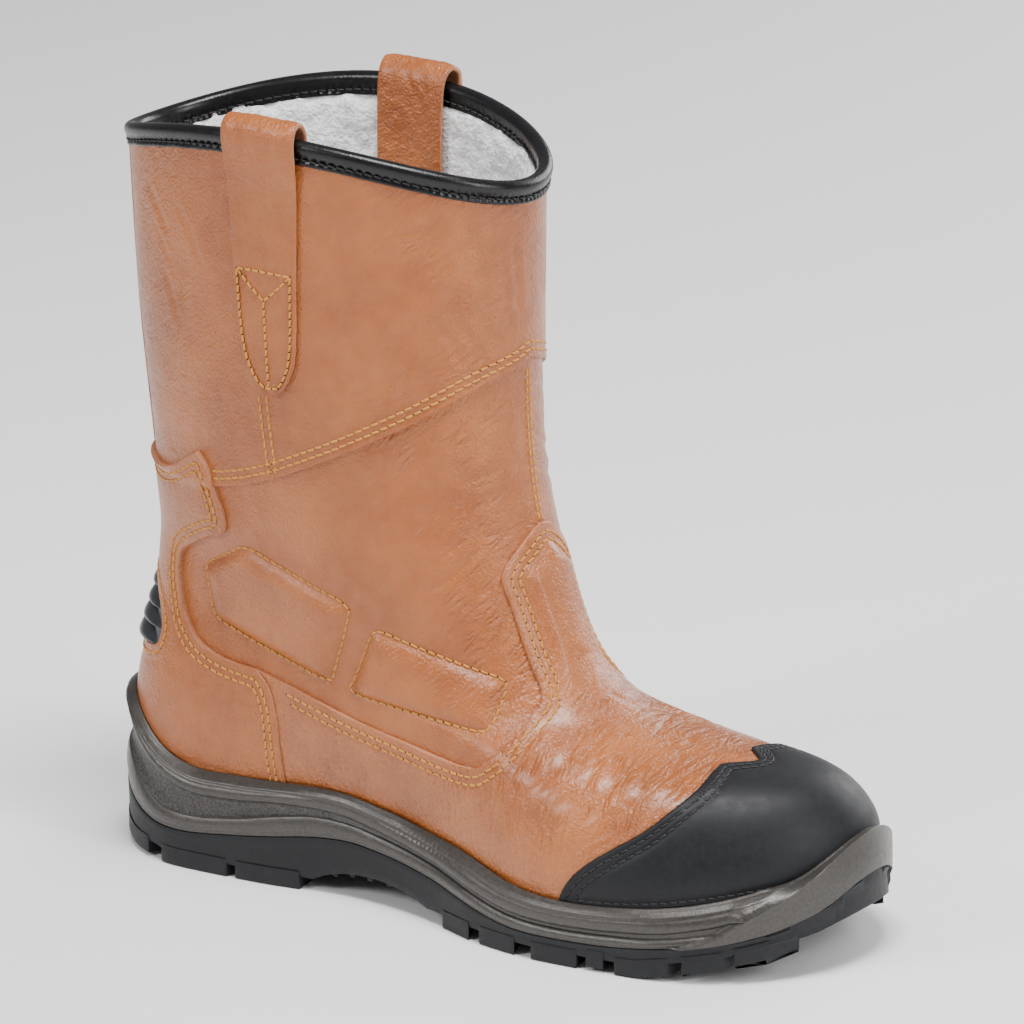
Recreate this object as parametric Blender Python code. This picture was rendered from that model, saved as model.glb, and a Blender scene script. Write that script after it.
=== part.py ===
"""Rigger boot for the right foot, standing on its sole.

The script works in metres with +Z up, +X to the toe and +Y to the inner
(medial) side.  Everything that follows the foot is taken from one form, the
last: rings that run around it from the feather line at the sole to the
collar.  A place on the last is given by its girth angle, 0 at the heel's back
and 180 at the front, and by its height share, 0 at the sole and 1 at the
collar.  Panels are outlines in these two numbers, raised off the upper.
"""
import math

import bmesh
import bpy
import numpy as np
from mathutils import Vector
from mathutils.geometry import delaunay_2d_cdt

MM = 0.001

# Main sizes
SOLE_LENGTH = 308 * MM
UPPER_WALL = 2.2 * MM
SHAFT_STEP = 1.3 * MM        # the shaft's leather laps over the quarter
PANEL_THICKNESS = 1.5 * MM
TOE_CAP_THICKNESS = 1.9 * MM
PAD_THICKNESS = 1.2 * MM
GAP = 0.3 * MM               # between pieces that touch
SEAM_INSET = 0.2 * MM        # each panel's share of the gap at a shared seam
RIM_LIFT = 15.5 * MM         # the collar's sides above its front and back
ORIGIN = Vector((-153.63 * MM, 1.23 * MM, 0))   # moves the middle of the whole boot onto x = y = 0

COLUMNS = 40                 # around the last
LOWER_ROWS = (0, .5, 1, 1.5, 2, 2.5, 3, 3.5, 4, 4.5, 5, 6, 7, 8, 9)   # ring numbers, up to the ankle
INNER_RINGS = (0, 1, 2, 3, 4, 5, 6, 7, 8)   # those of them that the inside has too
QUARTER_SHARES = (.5,)       # rows from the ankle to the diagonal seam
SHAFT_SHARES = (.3, .62, 1)  # rows from the diagonal seam to the collar
STEP_SHARE = .004            # height share that the step takes

# The last, ring by ring, from the feather line up, in millimetres.
# x runs forward from the sole's back, z up from the floor.
RING_COLUMNS = ("back_x", "back_z", "front_x", "front_z",
                "heel_half", "waist_half", "ball_half", "back_round", "front_round")
RINGS = np.array([
    (7,     33,  300,   30,    33.5, 30.5, 50,   40, 72),
    (5,     46,  303,   42,    35.8, 34.5, 51.5, 41, 74),
    (5,     59,  299,   54,    36.8, 38,   49.5, 42, 80),
    (7,     71,  287,   63,    36.5, 40,   45,   42, 90),
    (9,     82,  264,   66.5,  35.5, 41,   42,   42, 105),
    (11,    92,  238,   69.5,  35,   41.5, 42,   44, 112),
    (12,    102, 216,   75.5,  35,   42,   42,   46, 105),
    (13,    113, 200,   86,    36.5, 43,   43,   50, 95),
    (13.5,  125, 189,   99,    39,   45,   45,   58, 86),
    (12.5,  139, 181,   117,   43,   47,   47,   66, 80),
    (11,    154, 174,   138,   46,   48,   48,   74, 77),
    (9,     172, 169,   163,   48,   49,   49,   78, 77),
    (6,     199, 167,   196,   49.5, 50,   50,   81, 79),
    (3.5,   234, 167,   233,   50,   50.5, 50.5, 82, 81),
    (1.5,   271, 168,   270.5, 50.5, 51,   51,   83, 83),
]) * MM
HEEL_AT, WAIST_AT, BALL_AT = 45 * MM, 130 * MM, 215 * MM

# Lines along the foot, in millimetres
SEAT_COLUMNS = ("x", "z")                     # the last's underside
SEAT = np.array([(0, 33), (45, 31), (95, 28), (140, 22), (190, 17.5),
                 (220, 17), (250, 19.5), (280, 25), (300, 30)]) * MM
CENTRE_COLUMNS = ("x", "y")                   # the curve of a right foot
CENTRE = np.array([(0, -3), (60, -3.5), (120, -3), (165, -2.5),
                   (205, -3.5), (240, -1), (275, 4), (308, 8)]) * MM
SOLE_COLUMNS = ("x", "outer_half", "inner_half")
SOLE_PLAN = np.array([(0, 42.5, 43), (60, 42.5, 43), (80, 41.5, 42.5), (105, 38.5, 41), (130, 39, 41),
                      (155, 44, 44), (175, 51, 49), (200, 55, 53.5), (225, 55.5, 55.5),
                      (245, 55.5, 54.5), (308, 56, 52)]) * MM
SOLE_BACK_ROUND, SOLE_FRONT_ROUND = 46 * MM, 62 * MM
SIDE_COLUMNS = ("x", "top", "upper_groove", "lower_groove", "joint")
SOLE_SIDE = np.array([(0, 59, 55, 40, 28), (12, 58, 52, 36, 22), (22, 51, 42, 28.5, 17.5),
                      (32, 44, 36, 23, 15), (45, 39, 31, 21.3, 14.4), (65, 38.6, 30.4, 23, 16.4),
                      (85, 39.6, 32.1, 27, 19), (100, 40.6, 32, 29.2, 21.1), (115, 40.4, 31, 29, 22),
                      (130, 37.6, 28.2, 26.6, 20.6), (150, 33.6, 24.6, 23.2, 17.8),
                      (170, 30.6, 21, 19.5, 14.5), (195, 25.4, 16, 14.6, 10.2),
                      (215, 23.8, 14.9, 13.6, 9.7), (240, 25, 16.1, 14.6, 10.6),
                      (265, 28.2, 19.2, 17, 13.6), (282, 33, 24, 21, 16.8), (295, 39, 33, 27, 21.5),
                      (303, 48, 42, 34, 27), (308, 54, 48, 41, 34)]) * MM
TREAD_COLUMNS = ("x", "z")                    # the outsole's underside
TREAD = ((0, 7), (8, 3.4), (17, 1.4), (30, .9), (36, 0), (247, 0),
         (262, 2.6), (278, 5.4), (292, 8.8), (301, 11.6), (308, 15.5))
ARCH_COLUMNS = ("x", "z")                     # the hollow ahead of the heel
ARCH = ((97, -5), (98, 0), (101, 3.6), (105, 6.2), (112, 8.2), (122, 8.8),
        (134, 8.2), (145, 6.6), (153, 4.4), (157.5, 0), (158.5, -5))
# Grooves across the tread: middle, width, depth and slant to the middle line
GROOVE_COLUMNS = ("x", "width", "depth", "slant")
GROOVES = ((32.5, 5, 4.5, 4), (67, 3.6, 4.5, 7), (179.5, 4, 4.5, 9), (203, 3.6, 4.5, 7),
           (233, 8, 4.5, 3), (263.5, 3.8, 4, -5), (281, 3.6, 4, -9))

# Panel outlines for one side, as girth angle and height share.  Those at the
# back count the angle from the heel's back, those at the front from the toe.
OUTLINE_COLUMNS = ("girth", "height")
DIAGONAL_SEAM = ((0, .875), (24.5, .856), (51.5, .814), (83, .755), (93, .735),
                 (112, .705), (140, .690), (180, .686))         # from the front
HEEL_SEAM = ((63, .016), (63, .062), (63.2, .126), (63.6, .220), (63.6, .280), (62.6, .309))
COUNTER_TOP = ((54.8, .310), (48.2, .333), (43.8, .384), (41.8, .455), (41.5, .520),
               (43.5, .556), (50, .585), (60, .620), (65.6, .634), (67.4, .656), (66.4, .696),
               (65.0, .730), (62.0, .744), (55, .727), (46.8, .708), (37.5, .697), (20, .700), (0, .704))
VAMP_TOP = ((111, .294), (101.8, .265), (92, .240), (83.5, .225), (79.5, .226), (75, .250),
            (65, .312), (54.8, .373), (42, .440), (33.5, .480), (30, .511), (28, .550),
            (26.3, .600), (26, .640), (26.2, .672), (22.5, .690), (13, .714), (5, .728), (0, .731))
TOE_CAP_EDGE = ((65.4, .016), (65.2, .046), (63.8, .073), (60.0, .104), (54, .138), (46, .176),
                (36, .220), (26, .255), (17, .276), (9, .286), (0, .290))
REAR_PAD = ((306, .556), (291, .612), (285, .621), (262, .590), (259, .578), (260.4, .552),
            (276, .392), (280.5, .354), (286, .356), (304, .426), (307, .450), (307.5, .490))
FRONT_PAD = ((254.5, .553), (250.5, .563), (224, .520), (221, .512), (221.5, .498), (243, .372),
             (247.5, .348), (253, .342), (269, .346), (272.8, .356), (271, .376))
BACK_STRIP = dict(half_width=11 * MM, height=(.712, .983), thickness=1.6 * MM)
# Window in the counter at the heel's back, which the ribs fill
WINDOW = ((0, .262), (23, .262), (29, .272), (31.5, .300), (31, .345), (26, .400), (19, .432), (0, .440))
RIB_COUNT, RIB_STAND = 4, 5.2 * MM

# Pull loops: strap sewn outside and inside, arched over the collar
LOOP_MIDDLE = {"lateral": 268, "medial": 92}   # girth angles
LOOP_WIDTH, LOOP_THICKNESS = 31 * MM, 1.8 * MM
LOOP_COLUMNS = ("stand_off", "height", "half_share")  # height above the collar's leather edge
LOOP_PATH = np.array([(2.6, -97, .06), (2.6, -91, .55), (2.6, -80, .86), (2.6, -60, .98), (2.7, -24, 1),
                      (4.7, -8.5, 1), (5.6, 2, 1), (4.9, 8, 1), (1.4, 10.8, 1),
                      (-2.6, 9.4, 1), (-5.2, 4, 1), (-6, -9, 1), (-6.4, -50, 1)])
BINDING_COLUMNS = ("stand_off", "height")      # section of the rolled collar edge
BINDING = np.array([(1.6, -7), (3.1, -7), (3.3, -1), (1.9, 1.7), (-1.3, 1.7), (-2.9, -1),
                    (-2.7, -7), (-1.2, -7), (-1.2, .3), (1.6, .3)])

# name: colour, roughness, metallic
FINISHES = {
    "tan_leather": ((.49, .215, .105), .45, 0),
    "cap_black": ((.055, .055, .065), .6, 0),
    "binding_black": ((.012, .012, .015), .3, 0),
    "sole_grey": ((.095, .09, .088), .42, .25),
    "rubber_black": ((.038, .039, .045), .65, 0),
    "insole_white": ((.75, .74, .72), .95, 0),
}


def smooth(value):
    value = np.clip(value, 0, 1)
    return value * value * (3 - 2 * value)


def round_end(share):
    """Height of an elliptic end, 0 at its tip and 1 where it is full."""
    share = np.clip(share, 0, 1)
    return np.sqrt(np.maximum(0, 1 - (1 - share) ** 2))


def spline(rows, share):
    """Natural cubic through equally spaced rows, read at shares 0 to 1."""
    count = len(rows)
    system = np.eye(count)
    for i in range(1, count - 1):
        system[i, i - 1:i + 2] = (1, 4, 1)
    bend = np.zeros_like(rows)
    bend[1:-1] = 6 * (rows[2:] - 2 * rows[1:-1] + rows[:-2])
    bend = np.linalg.solve(system, bend)
    place = np.clip(share, 0, 1) * (count - 1)
    i = np.minimum(place.astype(int), count - 2)
    u = (place - i)[..., None]
    w = 1 - u
    return w * rows[i] + u * rows[i + 1] + ((w ** 3 - w) * bend[i] + (u ** 3 - u) * bend[i + 1]) / 6


def along(table, x, column=1):
    """Smooth value of one column of a table at places x along its first."""
    xs, values = table[:, 0], table[:, column]
    slope = np.gradient(values, xs)
    i = np.clip(np.searchsorted(xs, x) - 1, 0, len(xs) - 2)
    step = xs[i + 1] - xs[i]
    u = np.clip((x - xs[i]) / step, 0, 1)
    return ((2 * u ** 3 - 3 * u ** 2 + 1) * values[i] + (u ** 3 - 2 * u ** 2 + u) * step * slope[i]
            + (3 * u ** 2 - 2 * u ** 3) * values[i + 1] + (u ** 3 - u ** 2) * step * slope[i + 1])


def last_point(height, girth):
    """Point of the last at a height share and a girth angle in radians."""
    height, girth = np.broadcast_arrays(np.asarray(height, float), np.asarray(girth, float))
    (back_x, back_z, front_x, front_z, heel, waist, ball,
     back_round, front_round) = np.moveaxis(spline(RINGS, height), -1, 0)
    share = (1 - np.cos(girth)) / 2
    length = front_x - back_x
    x = back_x + length * share
    # low rings follow the underside of the foot, high ones are plane
    drop = along(SEAT, x) - (along(SEAT, back_x) * (1 - share) + along(SEAT, front_x) * share)
    z = back_z + (front_z - back_z) * share + drop * (1 - smooth(height / .5))
    z = z + RIM_LIFT * smooth((height - .55) / .45) * np.sin(girth) ** 2
    half = (heel + (waist - heel) * smooth((x - HEEL_AT) / (WAIST_AT - HEEL_AT))
            + (ball - waist) * smooth((x - WAIST_AT) / (BALL_AT - WAIST_AT)))
    half = half * round_end(length * share / back_round) * round_end(length * (1 - share) / front_round)
    centre = along(CENTRE, x) * (1 - smooth((height - .15) / .45))
    side = np.where(np.sin(girth) >= 0, 1, -1)
    return np.stack([x, side * half + centre, z], -1)


def last_normal(height, girth):
    e = 1e-4
    up = last_point(height + e, girth) - last_point(height - e, girth)
    round_ = last_point(height, girth + 5 * e) - last_point(height, girth - 5 * e)
    normal = np.cross(up, round_)
    return normal / np.linalg.norm(normal, axis=-1, keepdims=True)


def off_last(height, girth, stand_off):
    return last_point(height, girth) + last_normal(height, girth) * np.asarray(stand_off)[..., None]


def seam_height(girth):
    """Height share of the diagonal seam at a girth angle in radians."""
    from_front = np.degrees(np.abs(np.mod(girth, 2 * np.pi) - np.pi))
    return along(np.array(DIAGONAL_SEAM), from_front)


class UpperGrid:
    """The upper's faceted outer wall, which every panel is laid on."""

    def __init__(self):
        self.girth = np.arange(COLUMNS + 1) * 2 * np.pi / COLUMNS
        seam = seam_height(self.girth)
        ankle = LOWER_ROWS[-1] / (len(RINGS) - 1)
        rows = [np.full(COLUMNS + 1, ring / (len(RINGS) - 1)) for ring in LOWER_ROWS]
        rows += [ankle + (seam - ankle) * share for share in QUARTER_SHARES]
        rows += [seam - STEP_SHARE, seam]
        rows += [seam + (1 - seam) * share for share in SHAFT_SHARES]
        self.height = np.array(rows)
        self.step_row = len(LOWER_ROWS) + len(QUARTER_SHARES) + 1
        self.lift = np.zeros_like(self.height)
        self.lift[self.step_row:] = SHAFT_STEP
        angles = np.broadcast_to(self.girth, self.height.shape)
        self.normal = last_normal(np.clip(self.height, 2e-4, 1 - 2e-4), angles)
        self.point = last_point(self.height, angles) + self.normal * self.lift[..., None]

    def locate(self, girth, height):
        """Cell and shares of one place, with each cell split along its rising diagonal."""
        turn = 2 * np.pi
        wrapped = girth % turn
        column = min(int(wrapped / turn * COLUMNS + 1e-9), COLUMNS - 1)
        u = wrapped / turn * COLUMNS - column
        edge = self.height[:, column] * (1 - u) + self.height[:, column + 1] * u
        row = int(np.clip(np.searchsorted(edge, height + 1e-9) - 1, 0, len(edge) - 2))
        # shares inside the triangle, solved on its own corners
        best = None
        for r in (row, max(row - 1, 0), min(row + 1, len(edge) - 2)):
            for triangle in (((0, 0), (1, 1), (0, 1)), ((0, 0), (1, 0), (1, 1))):
                corners = [(r + up, column + over) for up, over in triangle]
                places = np.array([(self.girth[c[1]], self.height[c]) for c in corners])
                weights = np.linalg.solve(np.vstack([places.T, np.ones(3)]), (wrapped, height, 1))
                miss = -min(weights.min(), 0)
                if best is None or miss < best[0] - 1e-7:
                    best = (miss, weights, corners)
        return best[1], best[2]

    def raised(self, girth, height, stand_off):
        """Point above the faceted wall."""
        weights, corners = self.locate(girth, height)
        return sum(w * (self.point[c] + self.normal[c] * stand_off) for w, c in zip(weights, corners))


def mirrored(half, centre):
    """Closed outline from a half outline: angles run both ways from the centre, in radians."""
    ahead = [(math.radians(centre + girth), height) for girth, height in half]
    behind = [(math.radians(centre - girth), height) for girth, height in half]
    if abs(half[-1][0]) < 1e-9:
        behind = behind[:-1]
    return ahead + behind[::-1]


PLANE = np.array([52 * MM, 290 * MM])     # scale of girth and height shares, to draw panels flat


def rounded(outline, spacing=10 * MM):
    """Closed smooth curve through an outline's points, with corners kept where it turns sharply."""
    points = np.array(outline) * PLANE
    count = len(points)
    result = []
    for i in range(count):
        p0, p1, p2, p3 = (points[(i + k) % count] for k in (-1, 0, 1, 2))
        span = np.linalg.norm(p2 - p1)
        pieces = max(1, round(span / spacing))
        t1 = tangent(p0, p1, p2) * span
        t2 = tangent(p1, p2, p3) * span
        for k in range(pieces):
            u = k / pieces
            result.append((2 * u ** 3 - 3 * u ** 2 + 1) * p1 + (u ** 3 - 2 * u ** 2 + u) * t1
                          + (3 * u ** 2 - 2 * u ** 3) * p2 + (u ** 3 - u ** 2) * t2)
    return np.array(result)


def tangent(before, here, after):
    a, b = here - before, after - here
    a, b = a / max(np.linalg.norm(a), 1e-9), b / max(np.linalg.norm(b), 1e-9)
    if a @ b < .5:
        return b * 0
    mean = a + b
    return mean / np.linalg.norm(mean)


def inset(points, distance):
    """Closed curve moved inwards, whichever way it runs."""
    ahead, behind = np.roll(points, -1, 0), np.roll(points, 1, 0)
    direction = ahead - behind
    direction /= np.maximum(np.linalg.norm(direction, axis=1, keepdims=True), 1e-9)
    area = np.sum(points[:, 0] * ahead[:, 1] - ahead[:, 0] * points[:, 1])
    inward = np.stack([-direction[:, 1], direction[:, 0]], 1) * np.sign(area)
    return points + inward * distance


def inside(point, polygon):
    x, y = point
    xa, ya = polygon[:, 0], polygon[:, 1]
    xb, yb = np.roll(xa, -1), np.roll(ya, -1)
    crosses = (ya > y) != (yb > y)
    with np.errstate(divide="ignore", invalid="ignore"):
        at = (xb - xa) * (y - ya) / (yb - ya) + xa
    return np.count_nonzero(crosses & (x < at)) % 2 == 1


def new_object(name, vertices, faces, finish):
    mesh = bpy.data.meshes.new(name)
    mesh.from_pydata([tuple(v) for v in vertices], [], faces)
    work = bmesh.new()
    work.from_mesh(mesh)
    bmesh.ops.remove_doubles(work, verts=work.verts, dist=1e-6)
    bmesh.ops.dissolve_degenerate(work, edges=work.edges, dist=1e-6)
    bmesh.ops.recalc_face_normals(work, faces=work.faces)
    work.to_mesh(mesh)
    work.free()
    mesh.shade_smooth()
    mesh.set_sharp_from_angle(angle=math.radians(35))
    colour, roughness, metallic = FINISHES[finish]
    material = bpy.data.materials.new(name)
    material.use_nodes = True
    shader = material.node_tree.nodes["Principled BSDF"]
    shader.inputs["Base Color"].default_value = (*colour, 1)
    shader.inputs["Roughness"].default_value = roughness
    shader.inputs["Metallic"].default_value = metallic
    mesh.materials.append(material)
    obj = bpy.data.objects.new(name, mesh)
    obj.location = ORIGIN
    bpy.context.collection.objects.link(obj)
    return obj


def bridge(rows, around=True, back=True):
    """Triangles between neighbouring rows; around joins each row's ends, back the last row to the first."""
    count, columns = len(rows), len(rows[0])
    faces = []
    for i in range(count if back else count - 1):
        for j in range(columns if around else columns - 1):
            a, b = i * columns + j, i * columns + (j + 1) % columns
            c, d = (i + 1) % count * columns + (j + 1) % columns, (i + 1) % count * columns + j
            faces += [(a, b, c), (a, c, d)]
    return faces


def ladder(first, columns):
    """Triangles that close a ring whose two sides face each other across its middle line."""
    half = columns // 2
    faces = []
    for j in range(half):
        a, b = first + j, first + j + 1
        c, d = first + (columns - j - 1) % columns, first + (columns - j) % columns
        faces += [f for f in ((a, b, c), (a, c, d)) if len(set(f)) == 3]
    return faces


def ring_solid(name, rows, finish):
    """Closed tube: rows run up the outside and down the inside."""
    return new_object(name, np.concatenate(rows), bridge(rows), finish)


def capped_solid(name, rows, finish):
    """Closed body: rows run from the underside's edge to the top's, both closed flat."""
    columns = len(rows[0])
    faces = bridge(rows, back=False) + ladder(0, columns) + ladder((len(rows) - 1) * columns, columns)
    return new_object(name, np.concatenate(rows), faces, finish)


def sheet_solid(name, outer, inner, finish):
    """Closed sheet from two equal grids of points."""
    rows, columns = outer.shape[:2]
    count = rows * columns
    faces = bridge(outer, around=False, back=False)
    faces += [tuple(count + i for i in reversed(f)) for f in faces]
    edge = ([j for j in range(columns)] + [i * columns + columns - 1 for i in range(1, rows)]
            + [(rows - 1) * columns + j for j in range(columns - 2, -1, -1)]
            + [i * columns for i in range(rows - 2, 0, -1)])
    for a, b in zip(edge, edge[1:] + edge[:1]):
        faces += [(b, a, count + a), (b, count + a, count + b)]
    return new_object(name, np.concatenate([outer.reshape(-1, 3), inner.reshape(-1, 3)]), faces, finish)


def panel_solid(name, grid, outline, thickness, finish, holes=(), levels=()):
    """Panel laid on the upper: its outline is cut out of the wall's own facets and raised.

    The thickness is a length or a function of girth angle and height share;
    levels are extra height shares at which such a panel is creased.
    """
    loops = [inset(rounded(outline), SEAM_INSET)] + [rounded(hole) for hole in holes]
    points, edges = [], []
    for loop in loops:
        first = len(points)
        points += [tuple(p) for p in loop]
        edges += [(first + i, first + (i + 1) % len(loop)) for i in range(len(loop))]
    low, high = loops[0].min(0), loops[0].max(0)
    # the wall's own edges, over as many turns as the outline needs
    step = 2 * math.pi / COLUMNS
    first_column = math.floor(low[0] / PLANE[0] / step)
    last_column = math.ceil(high[0] / PLANE[0] / step)
    index = {}
    for row in range(len(grid.height)):
        for column in range(first_column, last_column + 1):
            index[row, column] = len(points)
            points.append((column * step * PLANE[0], grid.height[row, column % COLUMNS] * PLANE[1]))
    for (row, column), here in index.items():
        for ahead in ((row + 1, column), (row, column + 1), (row + 1, column + 1)):
            if ahead in index:
                edges.append((here, index[ahead]))
    for level in levels:
        first = len(points)
        points += [(column * step * PLANE[0], level * PLANE[1]) for column in (first_column, last_column)]
        edges.append((first, first + 1))
    flat, _, triangles, *_ = delaunay_2d_cdt([Vector(p) for p in points], edges, [], 0, 1e-7)
    flat = np.array([tuple(p) for p in flat])
    kept = [t for t in triangles if inside(flat[list(t)].mean(0), loops[0])
            and not any(inside(flat[list(t)].mean(0), loop) for loop in loops[1:])]
    used = sorted({i for t in kept for i in t})
    order = {i: k for k, i in enumerate(used)}
    places = flat[used] / PLANE
    lower = [grid.raised(g, h, GAP) for g, h in places]
    depth = thickness if callable(thickness) else lambda g, h: thickness
    upper = [grid.raised(g, h, GAP + depth(g, h)) for g, h in places]
    count = len(used)
    kept = [tuple(order[i] for i in t) for t in kept]
    faces = [t for t in kept] + [tuple(count + i for i in reversed(t)) for t in kept]
    rim = {}
    for t in kept:
        for a, b in zip(t, t[1:] + t[:1]):
            rim[a, b] = rim.get((a, b), 0) + 1
    for a, b in rim:
        if (b, a) not in rim:
            faces += [(b, a, count + a), (b, count + a, count + b)]
    return new_object(name, upper + lower, faces, finish)


def sole_outline(grow, girth):
    """The sole's plan at each girth angle, grown outwards."""
    x = SOLE_LENGTH * (1 - np.cos(girth)) / 2
    full = round_end(x / SOLE_BACK_ROUND) * round_end((SOLE_LENGTH - x) / SOLE_FRONT_ROUND)
    outer, inner = along(SOLE_PLAN, x, 1) + grow, along(SOLE_PLAN, x, 2) + grow
    y = along(CENTRE, x) + np.where(np.sin(girth) >= 0, inner, -outer) * full
    reach = grow * np.cos(girth)
    return np.stack([x - reach, y], -1)


def at_line(girth, column):
    """Height share where the last crosses a line of the sole's side."""
    low, high = np.zeros_like(girth), np.full_like(girth, .35)
    for _ in range(40):
        middle = (low + high) / 2
        point = last_point(middle, girth)
        below = point[..., 2] < along(SOLE_SIDE, point[..., 0], column)
        low, high = np.where(below, middle, low), np.where(below, high, middle)
    return (low + high) / 2


def build_upper(grid):
    outer = [grid.point[i][:-1] for i in range(len(grid.height))]
    girth = grid.girth[:-1]
    inner = []
    for row in range(len(grid.height) - 1, -1, -1):
        if row < len(LOWER_ROWS) and LOWER_ROWS[row] not in INNER_RINGS:
            continue
        height = np.clip(grid.height[row][:-1], 2e-4, 1 - 2e-4)
        # above the seam the shaft's wall steps out as a whole
        lift = SHAFT_STEP if row > grid.step_row else 0
        if row == grid.step_row:
            continue
        inner.append(off_last(height, girth, np.full(len(girth), lift - UPPER_WALL)))
    inner[0][:, 2] = outer[-1][:, 2]
    inner[-1][:, 2] = outer[0][:, 2]
    return ring_solid("upper", outer + inner, "tan_leather")


def build_binding(grid):
    girth = grid.girth[:-1]
    edge, normal = grid.point[-1][:-1], grid.normal[-1][:-1]
    below = last_point(np.full(COLUMNS, 1 - 2e-4 - .0135), girth) + normal * SHAFT_STEP
    down = (below - edge) / 7 / MM
    level = normal * (1, 1, 0)
    level /= np.linalg.norm(level, axis=1, keepdims=True)
    rows = []
    for stand_off, height in BINDING * MM:
        up = -down * height if height < 0 else np.array((0, 0, 1)) * height
        rows.append(edge + level * (stand_off - SHAFT_STEP) + up)
    return ring_solid("collar_binding", rows, "binding_black")


def build_loop(side):
    """Strap over the collar, bent round the shaft across its width."""
    middle = math.radians(LOOP_MIDDLE[side])
    shares = np.linspace(-1, 1, 5)
    mid_edge = last_point(1.0, middle)
    per_height = np.linalg.norm(last_point(1.0, middle) - last_point(.9, middle)) / .1
    across = np.linalg.norm(last_point(1.0, middle + .05) - last_point(1.0, middle - .05)) / .1
    half_angle = LOOP_WIDTH / 2 / across
    grids = []
    for side_off in (.5, -.5):
        rows = []
        for k, (stand_off, height, half_share) in enumerate(LOOP_PATH):
            angles = middle + shares * half_angle * half_share
            share = np.minimum(1 + height * MM / per_height, 1 - 2e-4)
            base = last_point(share, angles)
            normal = last_normal(share, angles) * (1, 1, 0)
            normal /= np.linalg.norm(normal, axis=1, keepdims=True)
            lift = max(height, 0) * MM + max(mid_edge[2] - last_point(1.0, middle)[2], 0)
            # thickness is laid across the path, not across the shaft
            ahead = LOOP_PATH[min(k + 1, len(LOOP_PATH) - 1)][:2]
            behind = LOOP_PATH[max(k - 1, 0)][:2]
            run = (ahead - behind) / np.linalg.norm(ahead - behind)
            shift = np.array((run[1], -run[0])) * side_off * LOOP_THICKNESS
            rows.append(base + normal * (stand_off * MM + shift[0])
                        + np.array((0, 0, 1)) * (lift + shift[1]))
        grids.append(np.array(rows))
    return sheet_solid("pull_loop_" + side, grids[0], grids[1], "tan_leather")


def build_back_strip(grid):
    low, high = BACK_STRIP["height"]
    rows = []
    for height in np.linspace(low, high, 6):
        across = np.linalg.norm(last_point(height, .05) - last_point(height, -.05)) / .1
        half = BACK_STRIP["half_width"] / across
        rows.append([(angle % (2 * math.pi), height) for angle in np.linspace(-half, half, 5)])
    outline = ([(a if a < math.pi else a - 2 * math.pi, h) for a, h in (r[0] for r in rows)]
               + [(a if a < math.pi else a - 2 * math.pi, h) for a, h in (r[-1] for r in rows)][::-1])
    return panel_solid("back_strip", grid, outline, BACK_STRIP["thickness"], "tan_leather")


def build_ribs(grid):
    """Rubber ribs in the counter's window, each standing out most at its lower edge."""
    outline = mirrored_closed(WINDOW, 0)
    low, high = WINDOW[0][1] + .002, WINDOW[-1][1] - .002
    pitch = (high - low) / RIB_COUNT

    def stand(girth, height):
        rib = np.clip((height - low) / pitch, 0, RIB_COUNT - 1e-6)
        share = rib % 1
        limit = math.radians(np.interp(height, [h for _, h in WINDOW[2:]], [g for g, _ in WINDOW[2:]]))
        across = 1 - min(abs(girth) / limit, 1) ** 4
        slope = min(share / .22, 1) * (1 - .7 * max(share - .22, 0) / .78)
        return .8 * MM + RIB_STAND * (1 - .12 * int(rib)) * slope * across

    levels = [low + pitch * (rib + share) for rib in range(RIB_COUNT) for share in (0, .22)]
    panel_solid("heel_ribs", grid, outline, stand, "rubber_black", levels=levels[1:])


def build_insole(girth):
    low, high = (off_last(np.full(len(girth), height), girth, np.full(len(girth), -UPPER_WALL - .5 * MM))
                 for height in (2e-4, .017))
    low[:, 2] = along(SEAT, low[:, 0])
    return capped_solid("insole", [low, high], "insole_white")


def build_midsole(girth):
    """Cup of the sole: bands and grooves outside, the upper's seat inside."""
    room = TOE_CAP_THICKNESS + .75 * MM
    names = dict(zip(SIDE_COLUMNS, range(len(SIDE_COLUMNS))))

    def wall(column, share, grow):
        """Ring on the sole's wall, share of the way from the joint up to a line."""
        plan = sole_outline(grow, girth)
        line = along(SOLE_SIDE, plan[:, 0], names[column])
        joint = along(SOLE_SIDE, plan[:, 0], names["joint"])
        return np.column_stack([plan, joint + (line - joint) * share])

    recess = along(SOLE_SIDE, SOLE_LENGTH * (1 - np.cos(girth)) / 2, names["upper_groove"]) \
        - along(SOLE_SIDE, SOLE_LENGTH * (1 - np.cos(girth)) / 2, names["lower_groove"])
    depth = 1.1 * MM * smooth((recess - 1.5 * MM) / (4 * MM))
    top = at_line(girth, names["top"])
    lip = off_last(top, girth, np.full(len(girth), room + 1.7 * MM))
    inner = [off_last(np.maximum(top * share, 2e-4), girth, np.full(len(girth), room))
             for share in (1, .75, .5, .25, 0)]
    groove = wall("upper_groove", 1, -.6 * MM)
    shoulder = (groove + lip) / 2 + last_normal(top, girth) * (1, 1, 0) * 1.3 * MM
    inner[-1][:, 2] = along(SEAT, inner[-1][:, 0]) - GAP
    rows = [wall("lower_groove", 0, 0), wall("lower_groove", .8, 1.0 * MM), wall("lower_groove", 1, 0),
            wall("lower_groove", 1, -depth - .3 * MM), wall("upper_groove", .985, -depth - .6 * MM),
            groove, shoulder, lip, *inner]
    return capped_solid("midsole", rows, "sole_grey")


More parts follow.
